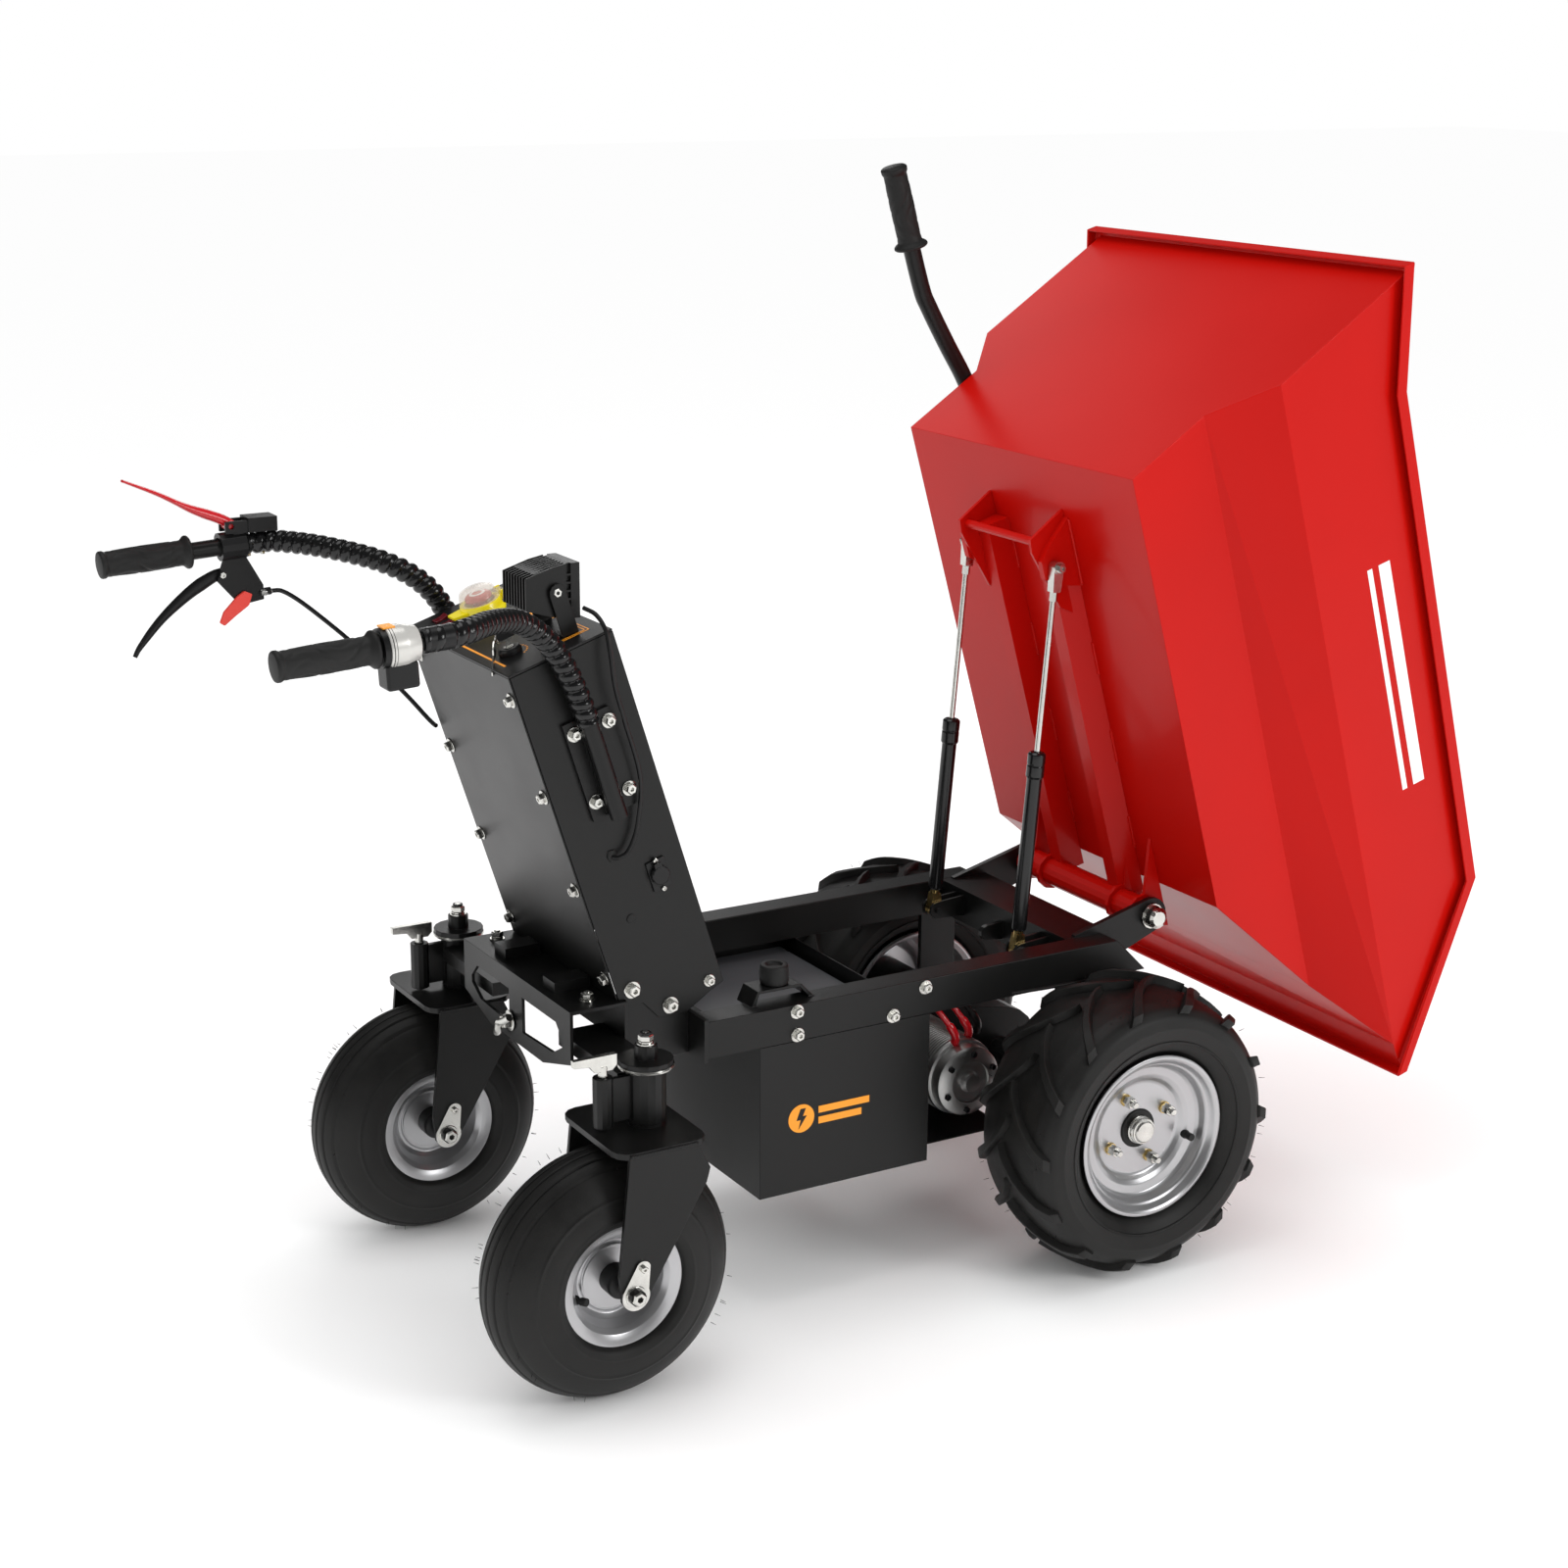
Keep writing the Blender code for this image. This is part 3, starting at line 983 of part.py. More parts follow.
def strut_rod(side):
    """Piston rod with its clevis end and bolt, which stands beside the tub's ear."""
    y, top = side * STRUT_Y, STRUT_L
    shaft = rod(name_of("strut_rod", side), 0.0040, (0, y, 0), "z", 0.246, top - 0.014, 12, "zinc", STRUT)
    clevis = [(-0.0060, top - 0.034), (0.0060, top - 0.034)] + arc(0, top, 0.0085, -20, 200, 8)
    add(shaft, prism(name_of("add_clevis", side), clevis, "y", y - 0.0070, y + 0.0070))
    lo, hi = span(side, STRUT_Y + 0.006, STRUT_Y + 0.0150)
    return add(shaft, rod(name_of("add_clevis_bolt", side), 0.0070, (0, 0, top), "y", lo, hi, 12))


def build():
    """Makes every sub-part."""
    for side in (LEFT, RIGHT):
        chassis_rail(side)
        rubber_buffer(side)
        caster_arm(side)
        drive_rim(side)
        drive_tyre(side)
        caster_rim(side)
        caster_tyre(side)
        caster_fork(side)
        lock_pin(side)
        handlebar(side)
        bar_wrap(side)
        strut_cylinder(side)
        strut_rod(side)
    for make in (front_subframe, pivot_bolt, rear_subframe, battery_box, battery_pack, gearbox_axle,
                 drive_motor, tower_shell, tower_rear_cover, tower_top_panel, estop_base, estop_button,
                 estop_cover, key_switch, ignition_key, light_bracket, work_light, charge_socket, charge_cap,
                 throttle_housing, brake_bracket, brake_lever, park_latch, switch_box, deadman_lever,
                 brake_cable, light_cable, tub_shell, tub_underframe, tub_handle):
        make()
    rocker_switch("rocker_switch_a", ROCKERS[0])
    rocker_switch("rocker_switch_b", ROCKERS[1])
    grip("grip_left", LEFT)
    grip("throttle_grip", RIGHT)


build()
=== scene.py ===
# %% [markdown]
# # Power wheelbarrow
# A walk-behind electric dumper: black welded frame, leaning console, two driven wheels with
# lugged tyres, two swivel casters, and a red sheet tub tipped forward on two gas struts.
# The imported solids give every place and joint. This script adds what a workshop would see:
# treads, welds, bolts, ribbed hose, moulded grips, and a finish for each surface.

# %% Load the solids and keep their box
import json
import math

import bmesh
import bpy
import numpy as np
from mathutils import Matrix


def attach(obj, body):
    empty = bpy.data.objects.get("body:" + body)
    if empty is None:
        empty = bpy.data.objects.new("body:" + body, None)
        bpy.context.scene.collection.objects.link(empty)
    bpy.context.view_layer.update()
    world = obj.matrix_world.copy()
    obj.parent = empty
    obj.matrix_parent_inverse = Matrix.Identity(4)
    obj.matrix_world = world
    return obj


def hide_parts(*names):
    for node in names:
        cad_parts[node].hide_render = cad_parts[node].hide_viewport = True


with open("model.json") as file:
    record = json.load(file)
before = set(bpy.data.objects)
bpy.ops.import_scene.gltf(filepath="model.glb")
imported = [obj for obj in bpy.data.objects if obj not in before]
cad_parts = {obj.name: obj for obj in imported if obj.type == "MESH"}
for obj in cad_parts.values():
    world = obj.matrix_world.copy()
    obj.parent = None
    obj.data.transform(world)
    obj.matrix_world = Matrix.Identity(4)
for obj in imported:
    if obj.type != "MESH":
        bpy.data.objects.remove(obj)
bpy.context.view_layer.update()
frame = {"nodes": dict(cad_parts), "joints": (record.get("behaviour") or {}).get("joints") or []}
NODES = frame["nodes"]
JOINTS = {joint["name"]: joint for joint in frame["joints"]}
RNG = np.random.default_rng(7)
LEFT, RIGHT = 1, -1
SIDES = (("left", LEFT), ("right", RIGHT))

# %% [markdown]
# ## Three frames of reference
# The chassis is measured from the ground below the drive axle, the console from its front
# lower edge, and the tub from the rear edge of its floor as if it lay level. Each helper
# turns such a place into the object's own coordinates, so a piece is written down the way
# it would be on a drawing.

# %% Chassis, console and tub frames
AXLE_X = JOINTS["drive_spin_left"]["pos_m"][0]
PANEL_UP = np.array(JOINTS["estop_press"]["axis"], float)
PANEL_UP /= np.linalg.norm(PANEL_UP)
PANEL_AHEAD = np.array([PANEL_UP[2], 0.0, -PANEL_UP[0]])
TUB_PIVOT = np.array(JOINTS["tub_tilt"]["pos_m"], float)
TUB_TIP = -math.radians(JOINTS["tub_tilt"]["range_deg"][0])
TUB_BACK, TUB_LIFT = 0.660, 0.037
TOWER_DEEP, TOWER_TALL = 0.143, 0.4936
PANEL_TOP = TOWER_TALL + 0.0033


def chassis(x, y, z):
    """A place measured from the ground below the drive axle."""
    return np.array([x + AXLE_X, y, z])


def tower(u, y, w):
    """A place from the console's front lower edge: u ahead, y across, w up its slope."""
    return chassis(-0.545, y, 0.461) + u * PANEL_AHEAD + w * PANEL_UP


def tub_points(points):
    """Places on the level tub, from its floor's rear edge, turned about the pivot bolt."""
    points = np.asarray(points, float)
    a, b = points[..., 0] - TUB_BACK, points[..., 2] + TUB_LIFT
    x = TUB_PIVOT[0] + a * math.cos(TUB_TIP) + b * math.sin(TUB_TIP)
    z = TUB_PIVOT[2] - a * math.sin(TUB_TIP) + b * math.cos(TUB_TIP)
    return np.stack([x, points[..., 1], z], -1)


def tub(x, y, z):
    """One place on the level tub."""
    return tub_points([x, y, z])


# %% [markdown]
# ## Camera, floor and light
# The camera stands a little above the machine's rear right corner. A long lens keeps
# the proportions calm. Four soft panels light it: a broad key on the right, a large one
# above that draws long highlights on the paint, a faint fill from behind, and a rim light
# on the far side. The world adds an even white, weak in reflections so that black stays black.

# %% Camera
CAMERA_AT = chassis(-2.1257, -3.0055, 1.6439)
YAW, PITCH, ROLL = 59.64, -15.85, 0.35
LENS, SENSOR = 62.12, 36.0


def aim_camera():
    """Turns yaw, pitch and roll into the camera's matrix: -Z looks along the view, +Y is up."""
    yaw, pitch, roll = (math.radians(v) for v in (YAW, PITCH, ROLL))
    ahead = np.array([math.cos(yaw) * math.cos(pitch), math.sin(yaw) * math.cos(pitch),
                      math.sin(pitch)])
    side = np.cross(ahead, [0, 0, 1])
    side /= np.linalg.norm(side)
    up = np.cross(side, ahead)
    right = side * math.cos(roll) + up * math.sin(roll)
    top = -side * math.sin(roll) + up * math.cos(roll)
    data = bpy.data.cameras.new("camera")
    data.lens, data.sensor_width, data.clip_end = LENS, SENSOR, 50
    camera = bpy.data.objects.new("camera", data)
    bpy.context.scene.collection.objects.link(camera)
    matrix = np.eye(4)
    matrix[:3, 0], matrix[:3, 1], matrix[:3, 2], matrix[:3, 3] = right, top, -ahead, CAMERA_AT
    camera.matrix_world = Matrix(matrix.tolist())
    bpy.context.scene.camera = camera


aim_camera()


# %% Floor and lights
def soft_panel(name, place, target, size, power):
    """An area light at place, facing target."""
    data = bpy.data.lights.new(name, "AREA")
    data.shape, data.size, data.energy = "DISK", size, power
    lamp = bpy.data.objects.new(name, data)
    bpy.context.scene.collection.objects.link(lamp)
    lamp.location = place
    direction = np.array(target, float) - np.array(place, float)
    tilt = math.atan2(math.hypot(direction[0], direction[1]), -direction[2])
    lamp.rotation_euler = (tilt, 0, math.atan2(direction[1], direction[0]) - math.pi / 2)


soft_panel("key", (2.2, -4.4, 2.6), (0.5, 0, 0.7), 1.8, 75)
soft_panel("top", (-0.6, 0.2, 4.0), (-0.2, 0, 0.4), 2.4, 30)
soft_panel("fill", (-4.2, -0.8, 2.0), (-0.3, 0, 0.6), 1.4, 4)
soft_panel("rim", (1.4, 4.0, 2.6), (0, 0, 0.7), 1.6, 16)


def studio_world(seen, diffuse, glossy):
    """A white surround with its own strength for the camera, matt surfaces and reflections."""
    world = bpy.data.worlds.new("studio")
    bpy.context.scene.world = world
    world.use_nodes = True
    nodes, links = world.node_tree.nodes, world.node_tree.links
    background = nodes["Background"]
    background.inputs["Color"].default_value = (1, 1, 1, 1)
    path = nodes.new("ShaderNodeLightPath")

    def mix(fac, low, high):
        node = nodes.new("ShaderNodeMix")
        links.new(fac, node.inputs[0])
        for socket, value in ((node.inputs[2], low), (node.inputs[3], high)):
            if isinstance(value, float):
                socket.default_value = value
            else:
                links.new(value, socket)
        return node.outputs[0]

    strength = mix(path.outputs["Is Glossy Ray"], diffuse, glossy)
    links.new(mix(path.outputs["Is Camera Ray"], strength, seen), background.inputs["Strength"])


studio_world(1.0, 0.98, 0.10)
bpy.context.scene.view_settings.view_transform = "Standard"


def floor():
    """A wide, matt white floor, far larger than the machine."""
    mat = bpy.data.materials.new("studio_floor")
    mat.use_nodes = True
    shader = mat.node_tree.nodes["Principled BSDF"]
    for socket, value in (("Base Color", (1, 1, 1, 1)), ("Roughness", 0.9),
                          ("Specular IOR Level", 0.0)):
        shader.inputs[socket].default_value = value
    mesh = bpy.data.meshes.new("floor")
    reach = 30.0
    corners = [(-reach, -reach, 0), (reach, -reach, 0), (reach, reach, 0), (-reach, reach, 0)]
    mesh.from_pydata(corners, [], [(0, 1, 2, 3)])
    mesh.materials.append(mat)
    ob = bpy.data.objects.new("floor", mesh)
    bpy.context.scene.collection.objects.link(ob)


floor()


# %% [markdown]
# ## Surfaces from arrays
# Every new shape is a grid of points computed in one go: a profile turned about an axis,
# a ring carried along a path, or an outline given a thickness. `shape` stitches the grid
# into faces, merges the poles and turns the faces outward.

# %% Mesh helpers
SAME_POINT = 1e-6


def grid_faces(rows, columns, wrap_rows=False, wrap_columns=False):
    """The four corners of each square between neighbouring grid points, as indices."""
    i = np.arange(rows if wrap_rows else rows - 1)
    j = np.arange(columns if wrap_columns else columns - 1)
    i, j = (m.ravel() for m in np.meshgrid(i, j, indexing="ij"))
    below, right = (i + 1) % rows, (j + 1) % columns
    return np.stack([i * columns + j, i * columns + right, below * columns + right,
                     below * columns + j], 1)


def shape(points, wrap_rows=False, wrap_columns=False, ends=False):
    """A grid of points as (vertices, faces). ends adds a cap on the first and the last row."""
    rows, columns = points.shape[:2]
    faces = grid_faces(rows, columns, wrap_rows, wrap_columns).tolist()
    if ends:
        faces += [list(range(columns)), list(range((rows - 1) * columns, rows * columns))]
    return points.reshape(-1, 3), faces


def make(name, shapes, material, body, smooth=35, stands_for=()):
    """One object from one or more shapes, finished, shaded and riding on its body. Edges above
    smooth degrees stay sharp."""
    vertices, faces, start = [], [], 0
    for points, polygons in shapes if isinstance(shapes, list) else [shapes]:
        vertices.append(points)
        faces += [[start + k for k in polygon] for polygon in polygons]
        start += len(points)
    mesh = bpy.data.meshes.new(name)
    mesh.from_pydata(np.concatenate(vertices), [], faces)
    bm = bmesh.new()
    bm.from_mesh(mesh)
    bmesh.ops.remove_doubles(bm, verts=bm.verts, dist=SAME_POINT)
    bmesh.ops.dissolve_degenerate(bm, dist=SAME_POINT / 10, edges=bm.edges)
    bmesh.ops.recalc_face_normals(bm, faces=bm.faces)
    bm.to_mesh(mesh)
    bm.free()
    mesh.shade_smooth()
    if smooth:
        mesh.set_sharp_from_angle(angle=math.radians(smooth))
    ob = bpy.data.objects.new(name, mesh)
    bpy.context.scene.collection.objects.link(ob)
    mesh.materials.append(material)
    if stands_for:
        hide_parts(*stands_for)
    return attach(ob, body)


def cross_axes(axis):
    """Two directions square to an axis and to each other."""
    axis = np.asarray(axis, float) / np.linalg.norm(axis)
    side = np.cross(axis, [0, 0, 1] if abs(axis[2]) < 0.9 else [1, 0, 0])
    side /= np.linalg.norm(side)
    return side, np.cross(axis, side), axis


def lathe(profile, centre, axis, steps=64, start=0.0):
    """A profile of (radius, height) pairs turned about an axis through centre."""
    profile = np.asarray(profile, float)
    side, other, axis = cross_axes(axis)
    angle = start + np.linspace(0, 2 * np.pi, steps, endpoint=False)
    ring = np.cos(angle)[:, None] * side + np.sin(angle)[:, None] * other
    points = np.asarray(centre) + profile[:, None, :1] * ring[None] + profile[:, None, 1:] * axis
    return points


def turned(profile, centre, axis, steps=64, closed=False, start=0.0):
    """A lathe shape. closed joins the profile's last point to its first, as in a ring."""
    return shape(lathe(profile, centre, axis, steps, start), wrap_rows=closed, wrap_columns=True)


def rounded(profile, radius=0.001, steps=3):
    """The profile with each inner corner cut back by radius and replaced by a short curve."""
    profile = np.asarray(profile, float)
    out = [profile[0]]
    t = np.linspace(0, 1, steps + 1)[:, None]
    for before, corner, after in zip(profile, profile[1:], profile[2:]):
        a, b = before - corner, after - corner
        cut = min(radius, 0.45 * np.linalg.norm(a), 0.45 * np.linalg.norm(b))
        p = corner + a / max(np.linalg.norm(a), 1e-9) * cut
        q = corner + b / max(np.linalg.norm(b), 1e-9) * cut
        out += list((1 - t) ** 2 * p + 2 * t * (1 - t) * corner + t ** 2 * q)
    return np.array(out + [profile[-1]])


def curve(points, count):
    """A Catmull-Rom curve through the points, resampled to count points at even distances."""
    points = np.asarray(points, float)
    p = np.vstack([2 * points[0] - points[1], points, 2 * points[-1] - points[-2]])
    t = np.linspace(0, 1, 24, endpoint=False)[None, :, None]
    a, b, c, d = (p[k:len(p) - 3 + k, None] for k in range(4))
    path = 0.5 * (2 * b + (c - a) * t + (2 * a - 5 * b + 4 * c - d) * t ** 2
                  + (3 * b - a - 3 * c + d) * t ** 3)
    path = np.vstack([path.reshape(-1, points.shape[1]), points[-1]])
    run = np.concatenate([[0], np.cumsum(np.linalg.norm(np.diff(path, axis=0), axis=1))])
    even = np.linspace(0, run[-1], count)
    return np.stack([np.interp(even, run, path[:, k]) for k in range(points.shape[1])], 1)


def tube(path, radius, sides=16, ref=(0, 1, 0), wide=1.0, ends=True):
    """A ring carried along a path. radius is one number, one for each row, or one for each point;
    wide stretches the ring along the direction ref."""
    path = np.asarray(path, float)
    tangent = np.gradient(path, axis=0)
    tangent /= np.linalg.norm(tangent, axis=1)[:, None]
    across = np.cross(np.asarray(ref, float), tangent)
    across /= np.linalg.norm(across, axis=1)[:, None]
    along_ref = np.cross(tangent, across)
    angle = np.linspace(0, 2 * np.pi, sides, endpoint=False)
    if np.ndim(radius) < 2:
        radius = np.asarray(radius, float).reshape(-1, 1)
    radius = np.broadcast_to(radius, (len(path), sides))
    wide = np.broadcast_to(np.asarray(wide, float).reshape(-1, 1), (len(path), 1))
    ring = (np.cos(angle)[None, :, None] * across[:, None]
            + (wide * np.sin(angle))[:, :, None] * along_ref[:, None])
    return shape(path[:, None] + radius[:, :, None] * ring, wrap_columns=True, ends=ends)


def corners(a0, a1, b0, b1):
    """The four corners of a rectangle, in order."""
    return [(a0, b0), (a1, b0), (a1, b1), (a0, b1)]


def slab(outline, push):
    """A flat outline of places given a thickness by the vector push."""
    outline = np.asarray(outline, float)
    points = np.stack([outline, outline + np.asarray(push, float)])
    return shape(points, wrap_columns=True, ends=True)


def bevel(ob, width, segments=2, angle=30):
    """Rounds the edges sharper than angle."""
    mod = ob.modifiers.new("edge", "BEVEL")
    mod.width, mod.segments, mod.limit_method = width, segments, "ANGLE"
    mod.angle_limit, mod.harden_normals = math.radians(angle), True
    return ob


# %% [markdown]
# ## Fasteners
# Zinc-plated bolts hold the sheet metal. Each is a washer, a six-sided head with its rim
# turned off, and a recess, all from the same turning helper with 6 or 24 steps. The bolts
# of one area are one piece, which rides on the body that they hold.

# %% Bolt shapes
def bolt(place, axis, size=0.006, washer=True, steps=6, tall=1.0):
    """A bolt head of half-width size that stands on a face at place, pointing along axis."""
    lift = 0.0
    out = []
    if washer:
        out.append(turned([(0, 0), (1.55 * size, 0), (1.6 * size, 0.0008), (1.5 * size, 0.0014),
                           (0, 0.0014)],
                          place, axis, 28))
        lift = 0.0013
    h = 1.15 * size * tall
    out.append(turned([(0, lift), (1.13 * size, lift), (1.15 * size, lift + 0.82 * h),
                       (0.95 * size, lift + h),
                       (0.5 * size, lift + h), (0.42 * size, lift + 0.55 * h),
                       (0, lift + 0.55 * h)],
                      place, axis, steps, start=0.3))
    return out


def bolts(places, axis, size, washer=True):
    """The same bolt head at each place."""
    return [piece for place in places for piece in bolt(place, axis, size, washer)]


def stud(place, axis, size, length):
    """A threaded stud: the radius waves along its length."""
    z = np.linspace(0, length, int(length / 0.0007))
    r = size * (1 - 0.06 * (1 + np.sin(z / 0.0015 * 2 * np.pi)) / 2)
    profile = np.vstack([[0, 0], np.stack([r, z], 1), [0.8 * size, length + 0.0007],
                         [0, length + 0.0007]])
    return [turned(profile, place, axis, 20)]


def nut_on_stud(place, axis, size, reach):
    """Washer, spring washer, nut and the stud's end."""
    washer, spring = 0.002, 0.0042
    nut = [(0, spring), (1.25 * size, spring), (1.4 * size, spring + 0.0013),
           (1.4 * size, spring + size),
           (1.2 * size, spring + 0.0013 + size), (0, spring + 0.0013 + size)]
    return [turned([(0, 0), (1.7 * size, 0), (1.7 * size, washer), (0, washer)], place, axis, 28),
            turned([(0, washer), (1.35 * size, washer), (1.35 * size, spring), (0, spring)], place,
                   axis, 24),
            turned(nut, place, axis, 6)] + stud(place, axis, 0.72 * size, reach)


# %% [markdown]
# ## Finishes
# Paint, rubber, zinc and plastic differ less in colour than in how evenly they shine. One
# function builds them all: a slow noise mottles the colour and the roughness, and a fine
# noise raises a grain. Both read Object coordinates, so nothing slides when a joint moves.

# %% Materials
def finish(name, colour, roughness, metallic=0.0, mottle=0.12, mottle_scale=9.0, grain=0.02,
           grain_scale=900.0, coat=0.0, gloss=0.5, rough_spread=0.08):
    """A Principled finish whose colour, roughness and grain vary over the surface."""
    mat = bpy.data.materials.new(name)
    mat.use_nodes = True
    nodes, links = mat.node_tree.nodes, mat.node_tree.links
    shader = nodes["Principled BSDF"]
    shader.inputs["Metallic"].default_value = metallic
    shader.inputs["Coat Weight"].default_value = coat
    shader.inputs["Coat Roughness"].default_value = 0.06
    shader.inputs["Specular IOR Level"].default_value = gloss
    source = nodes.new("ShaderNodeTexCoord").outputs["Object"]

    def noise(scale, detail):
        node = nodes.new("ShaderNodeTexNoise")
        node.inputs["Scale"].default_value = scale
        node.inputs["Detail"].default_value = detail
        links.new(source, node.inputs["Vector"])
        return node.outputs["Fac"]

    slow, fine = noise(mottle_scale, 5.0), noise(grain_scale, 2.0)
    tint = nodes.new("ShaderNodeValToRGB")
    low, high = tint.color_ramp.elements
    low.position, high.position = 0.3, 0.75
    low.color = (*[c * (1 - mottle) for c in colour], 1)
    high.color = (*[min(1, c * (1 + mottle)) for c in colour], 1)
    links.new(slow, tint.inputs["Fac"])
    links.new(tint.outputs["Color"], shader.inputs["Base Color"])
    span = nodes.new("ShaderNodeMapRange")
    span.inputs["To Min"].default_value = max(0.02, roughness - rough_spread)
    span.inputs["To Max"].default_value = min(1.0, roughness + rough_spread)
    links.new(slow, span.inputs["Value"])
    links.new(span.outputs["Result"], shader.inputs["Roughness"])
    bump = nodes.new("ShaderNodeBump")
    bump.inputs["Strength"].default_value = grain
    bump.inputs["Distance"].default_value = 0.001
    links.new(fine, bump.inputs["Height"])
    links.new(bump.outputs["Normal"], shader.inputs["Normal"])
    return mat


POWDER = finish("black_powder_coat", (0.0060, 0.0060, 0.0058), 0.34, gloss=0.30, grain=0.16,
                grain_scale=1400, mottle=0.2)
RED = finish("red_gloss_paint", (0.500, 0.0036, 0.0014), 0.32, gloss=0.13, mottle=0.05,
             mottle_scale=3, grain=0.05, grain_scale=260, coat=0.06, rough_spread=0.05)
TYRE = finish("tyre_rubber", (0.0085, 0.0082, 0.0076), 0.50, gloss=0.32, mottle=0.35,
              mottle_scale=22, grain=0.25, grain_scale=700, rough_spread=0.12)
SILVER = finish("rim_silver_paint", (0.50, 0.50, 0.51), 0.30, metallic=0.85, mottle=0.05,
                grain=0.03, grain_scale=1500)
ZINC = finish("zinc_plate", (0.66, 0.655, 0.62), 0.24, metallic=1.0, mottle=0.14, mottle_scale=60,
              grain=0.04)
YELLOW_ZINC = finish("yellow_zinc", (0.72, 0.52, 0.20), 0.28, metallic=1.0, mottle=0.2,
                     mottle_scale=90)
GRIP = finish("grip_rubber", (0.0120, 0.0120, 0.0118), 0.55, gloss=0.3, mottle=0.2, grain=0.12,
              grain_scale=1100)
PLASTIC = finish("black_plastic", (0.0070, 0.0070, 0.0073), 0.36, gloss=0.32, mottle=0.15,
                 grain=0.10, grain_scale=1800)
HOSE = finish("ribbed_hose", (0.0050, 0.0050, 0.0053), 0.22, gloss=0.45, mottle=0.15, grain=0.02)
YELLOW = finish("yellow_plastic", (0.83, 0.70, 0.003), 0.28, mottle=0.03, coat=0.3)
SIGNAL_RED = finish("red_plastic", (0.50, 0.006, 0.012), 0.24, mottle=0.06, coat=0.3)
DARK_RED = finish("dark_red_rocker", (0.10, 0.0045, 0.009), 0.24, mottle=0.06, coat=0.3)
LATCH_RED = finish("coral_plastic", (0.72, 0.050, 0.035), 0.32, mottle=0.05)
ALUMINIUM = finish("cast_aluminium", (0.50, 0.50, 0.49), 0.38, metallic=1.0, mottle=0.12,
                   grain=0.14, grain_scale=600)
HOUSING = finish("silver_housing", (0.62, 0.61, 0.58), 0.30, metallic=0.35, mottle=0.05, grain=0.03)
ORANGE = finish("orange_print", (0.90, 0.330, 0.015), 0.45, mottle=0.04, grain=0.02)
WHITE = finish("white_print", (0.86, 0.86, 0.85), 0.35, mottle=0.03, grain=0.02)
BATTERY = finish("battery_case", (0.055, 0.057, 0.062), 0.5, mottle=0.1)


def clear_plastic():
    """Thin clear lid: mostly transparent and smooth, with a gloss that keeps its shape readable."""
    mat = finish("clear_lid", (0.72, 0.66, 0.58), 0.12, mottle=0.02, grain=0.01, rough_spread=0.02)
    shader = mat.node_tree.nodes["Principled BSDF"]
    shader.inputs["Alpha"].default_value = 0.26
    shader.inputs["IOR"].default_value = 1.49
    return mat


def lens_glass():
    """Lamp glass over a bright reflector."""
    mat = finish("lamp_lens", (0.80, 0.83, 0.86), 0.10, metallic=0.3, mottle=0.05, grain=0.02)
    mat.node_tree.nodes["Principled BSDF"].inputs["Coat Weight"].default_value = 0.8
    return mat


CLEAR, LENS_GLASS = clear_plastic(), lens_glass()

# %% [markdown]
# ## The welded and folded solids
# Frame, brackets and console are already the right shape. They only lack the small radius
# that folding and powder coating leave, so each gets a weld of its loose triangles, a bevel
# of about a millimetre and its paint.

# %% Finish the solids that stay
STAYING = {
    "chassis_rail_left": (POWDER, 0.0030), "chassis_rail_right": (POWDER, 0.0030),
    "front_subframe": (POWDER, 0.0008), "rear_subframe": (POWDER, 0.0009),
    "caster_arm_left": (POWDER, 0.0010), "caster_arm_right": (POWDER, 0.0010),
    "caster_fork_left": (POWDER, 0.0012), "caster_fork_right": (POWDER, 0.0012),
    "battery_box": (POWDER, 0.0008), "battery_pack": (BATTERY, 0.0030),
           "gearbox_axle": (POWDER, 0.0020),
    "tower_shell": (POWDER, 0.0008), "tower_rear_cover": (POWDER, 0.0006),
           "tower_top_panel": (PLASTIC, 0.0010),
    "tub_shell": (RED, 0.0011), "tub_underframe": (RED, 0.0012),
    "light_bracket": (POWDER, 0.0006), "switch_box": (PLASTIC, 0.0012),
    "park_latch": (LATCH_RED, 0.0010), "charge_socket": (PLASTIC, 0.0008),
           "charge_cap": (PLASTIC, 0.0006),
    "rocker_switch_a": (DARK_RED, 0.0007), "rocker_switch_b": (DARK_RED, 0.0007),
    "ignition_key": (ZINC, 0.0003), "key_switch": (PLASTIC, 0.0006),
    "brake_bracket": (PLASTIC, 0.0010), "lock_pin_left": (ZINC, 0.0005),
           "lock_pin_right": (ZINC, 0.0005),
    "pivot_bolt": (ZINC, 0.0006),
}
for node_name, (paint, radius) in STAYING.items():
    node = NODES[node_name]
    node.data.materials.clear()
    node.data.materials.append(paint)
    weld = node.modifiers.new("weld", "WELD")
    weld.merge_threshold = 1e-5
    bevel(node, radius, 2, 28)
print("finished solids:", len(STAYING))

# %% [markdown]
# ## Drive tyres
# A lugged tyre is a smooth carcass with bars across it. The carcass is one profile turned
# about the axle. Each bar starts at the tread's middle and sweeps back to the shoulder, so
# it is a small grid laid on the carcass: along the bar, the place moves across the profile
# and round the wheel at once; across the bar, it rises from the carcass and falls again.
# Left and right bars are staggered by half a pitch.

# %% Carcass and lugs
DRIVE_R, DRIVE_Y, DRIVE_HALF = 0.203, 0.292, 0.0825
LUG_COUNT, LUG_TALL, LUG_LEAN = 14, 0.0115, math.radians(27)
CARCASS = np.array([(0.1030, 0.0480), (0.1080, 0.0565), (0.1160, 0.0600), (0.1185, 0.0645),
                    (0.1240, 0.0700),
                    (0.1370, 0.0785), (0.1530, 0.0815), (0.1560, 0.0822), (0.1590, 0.0812),
                    (0.1700, 0.0785),
                    (0.1810, 0.0690), (0.1870, 0.0550), (0.1905, 0.0300), (0.1915, 0.0)])


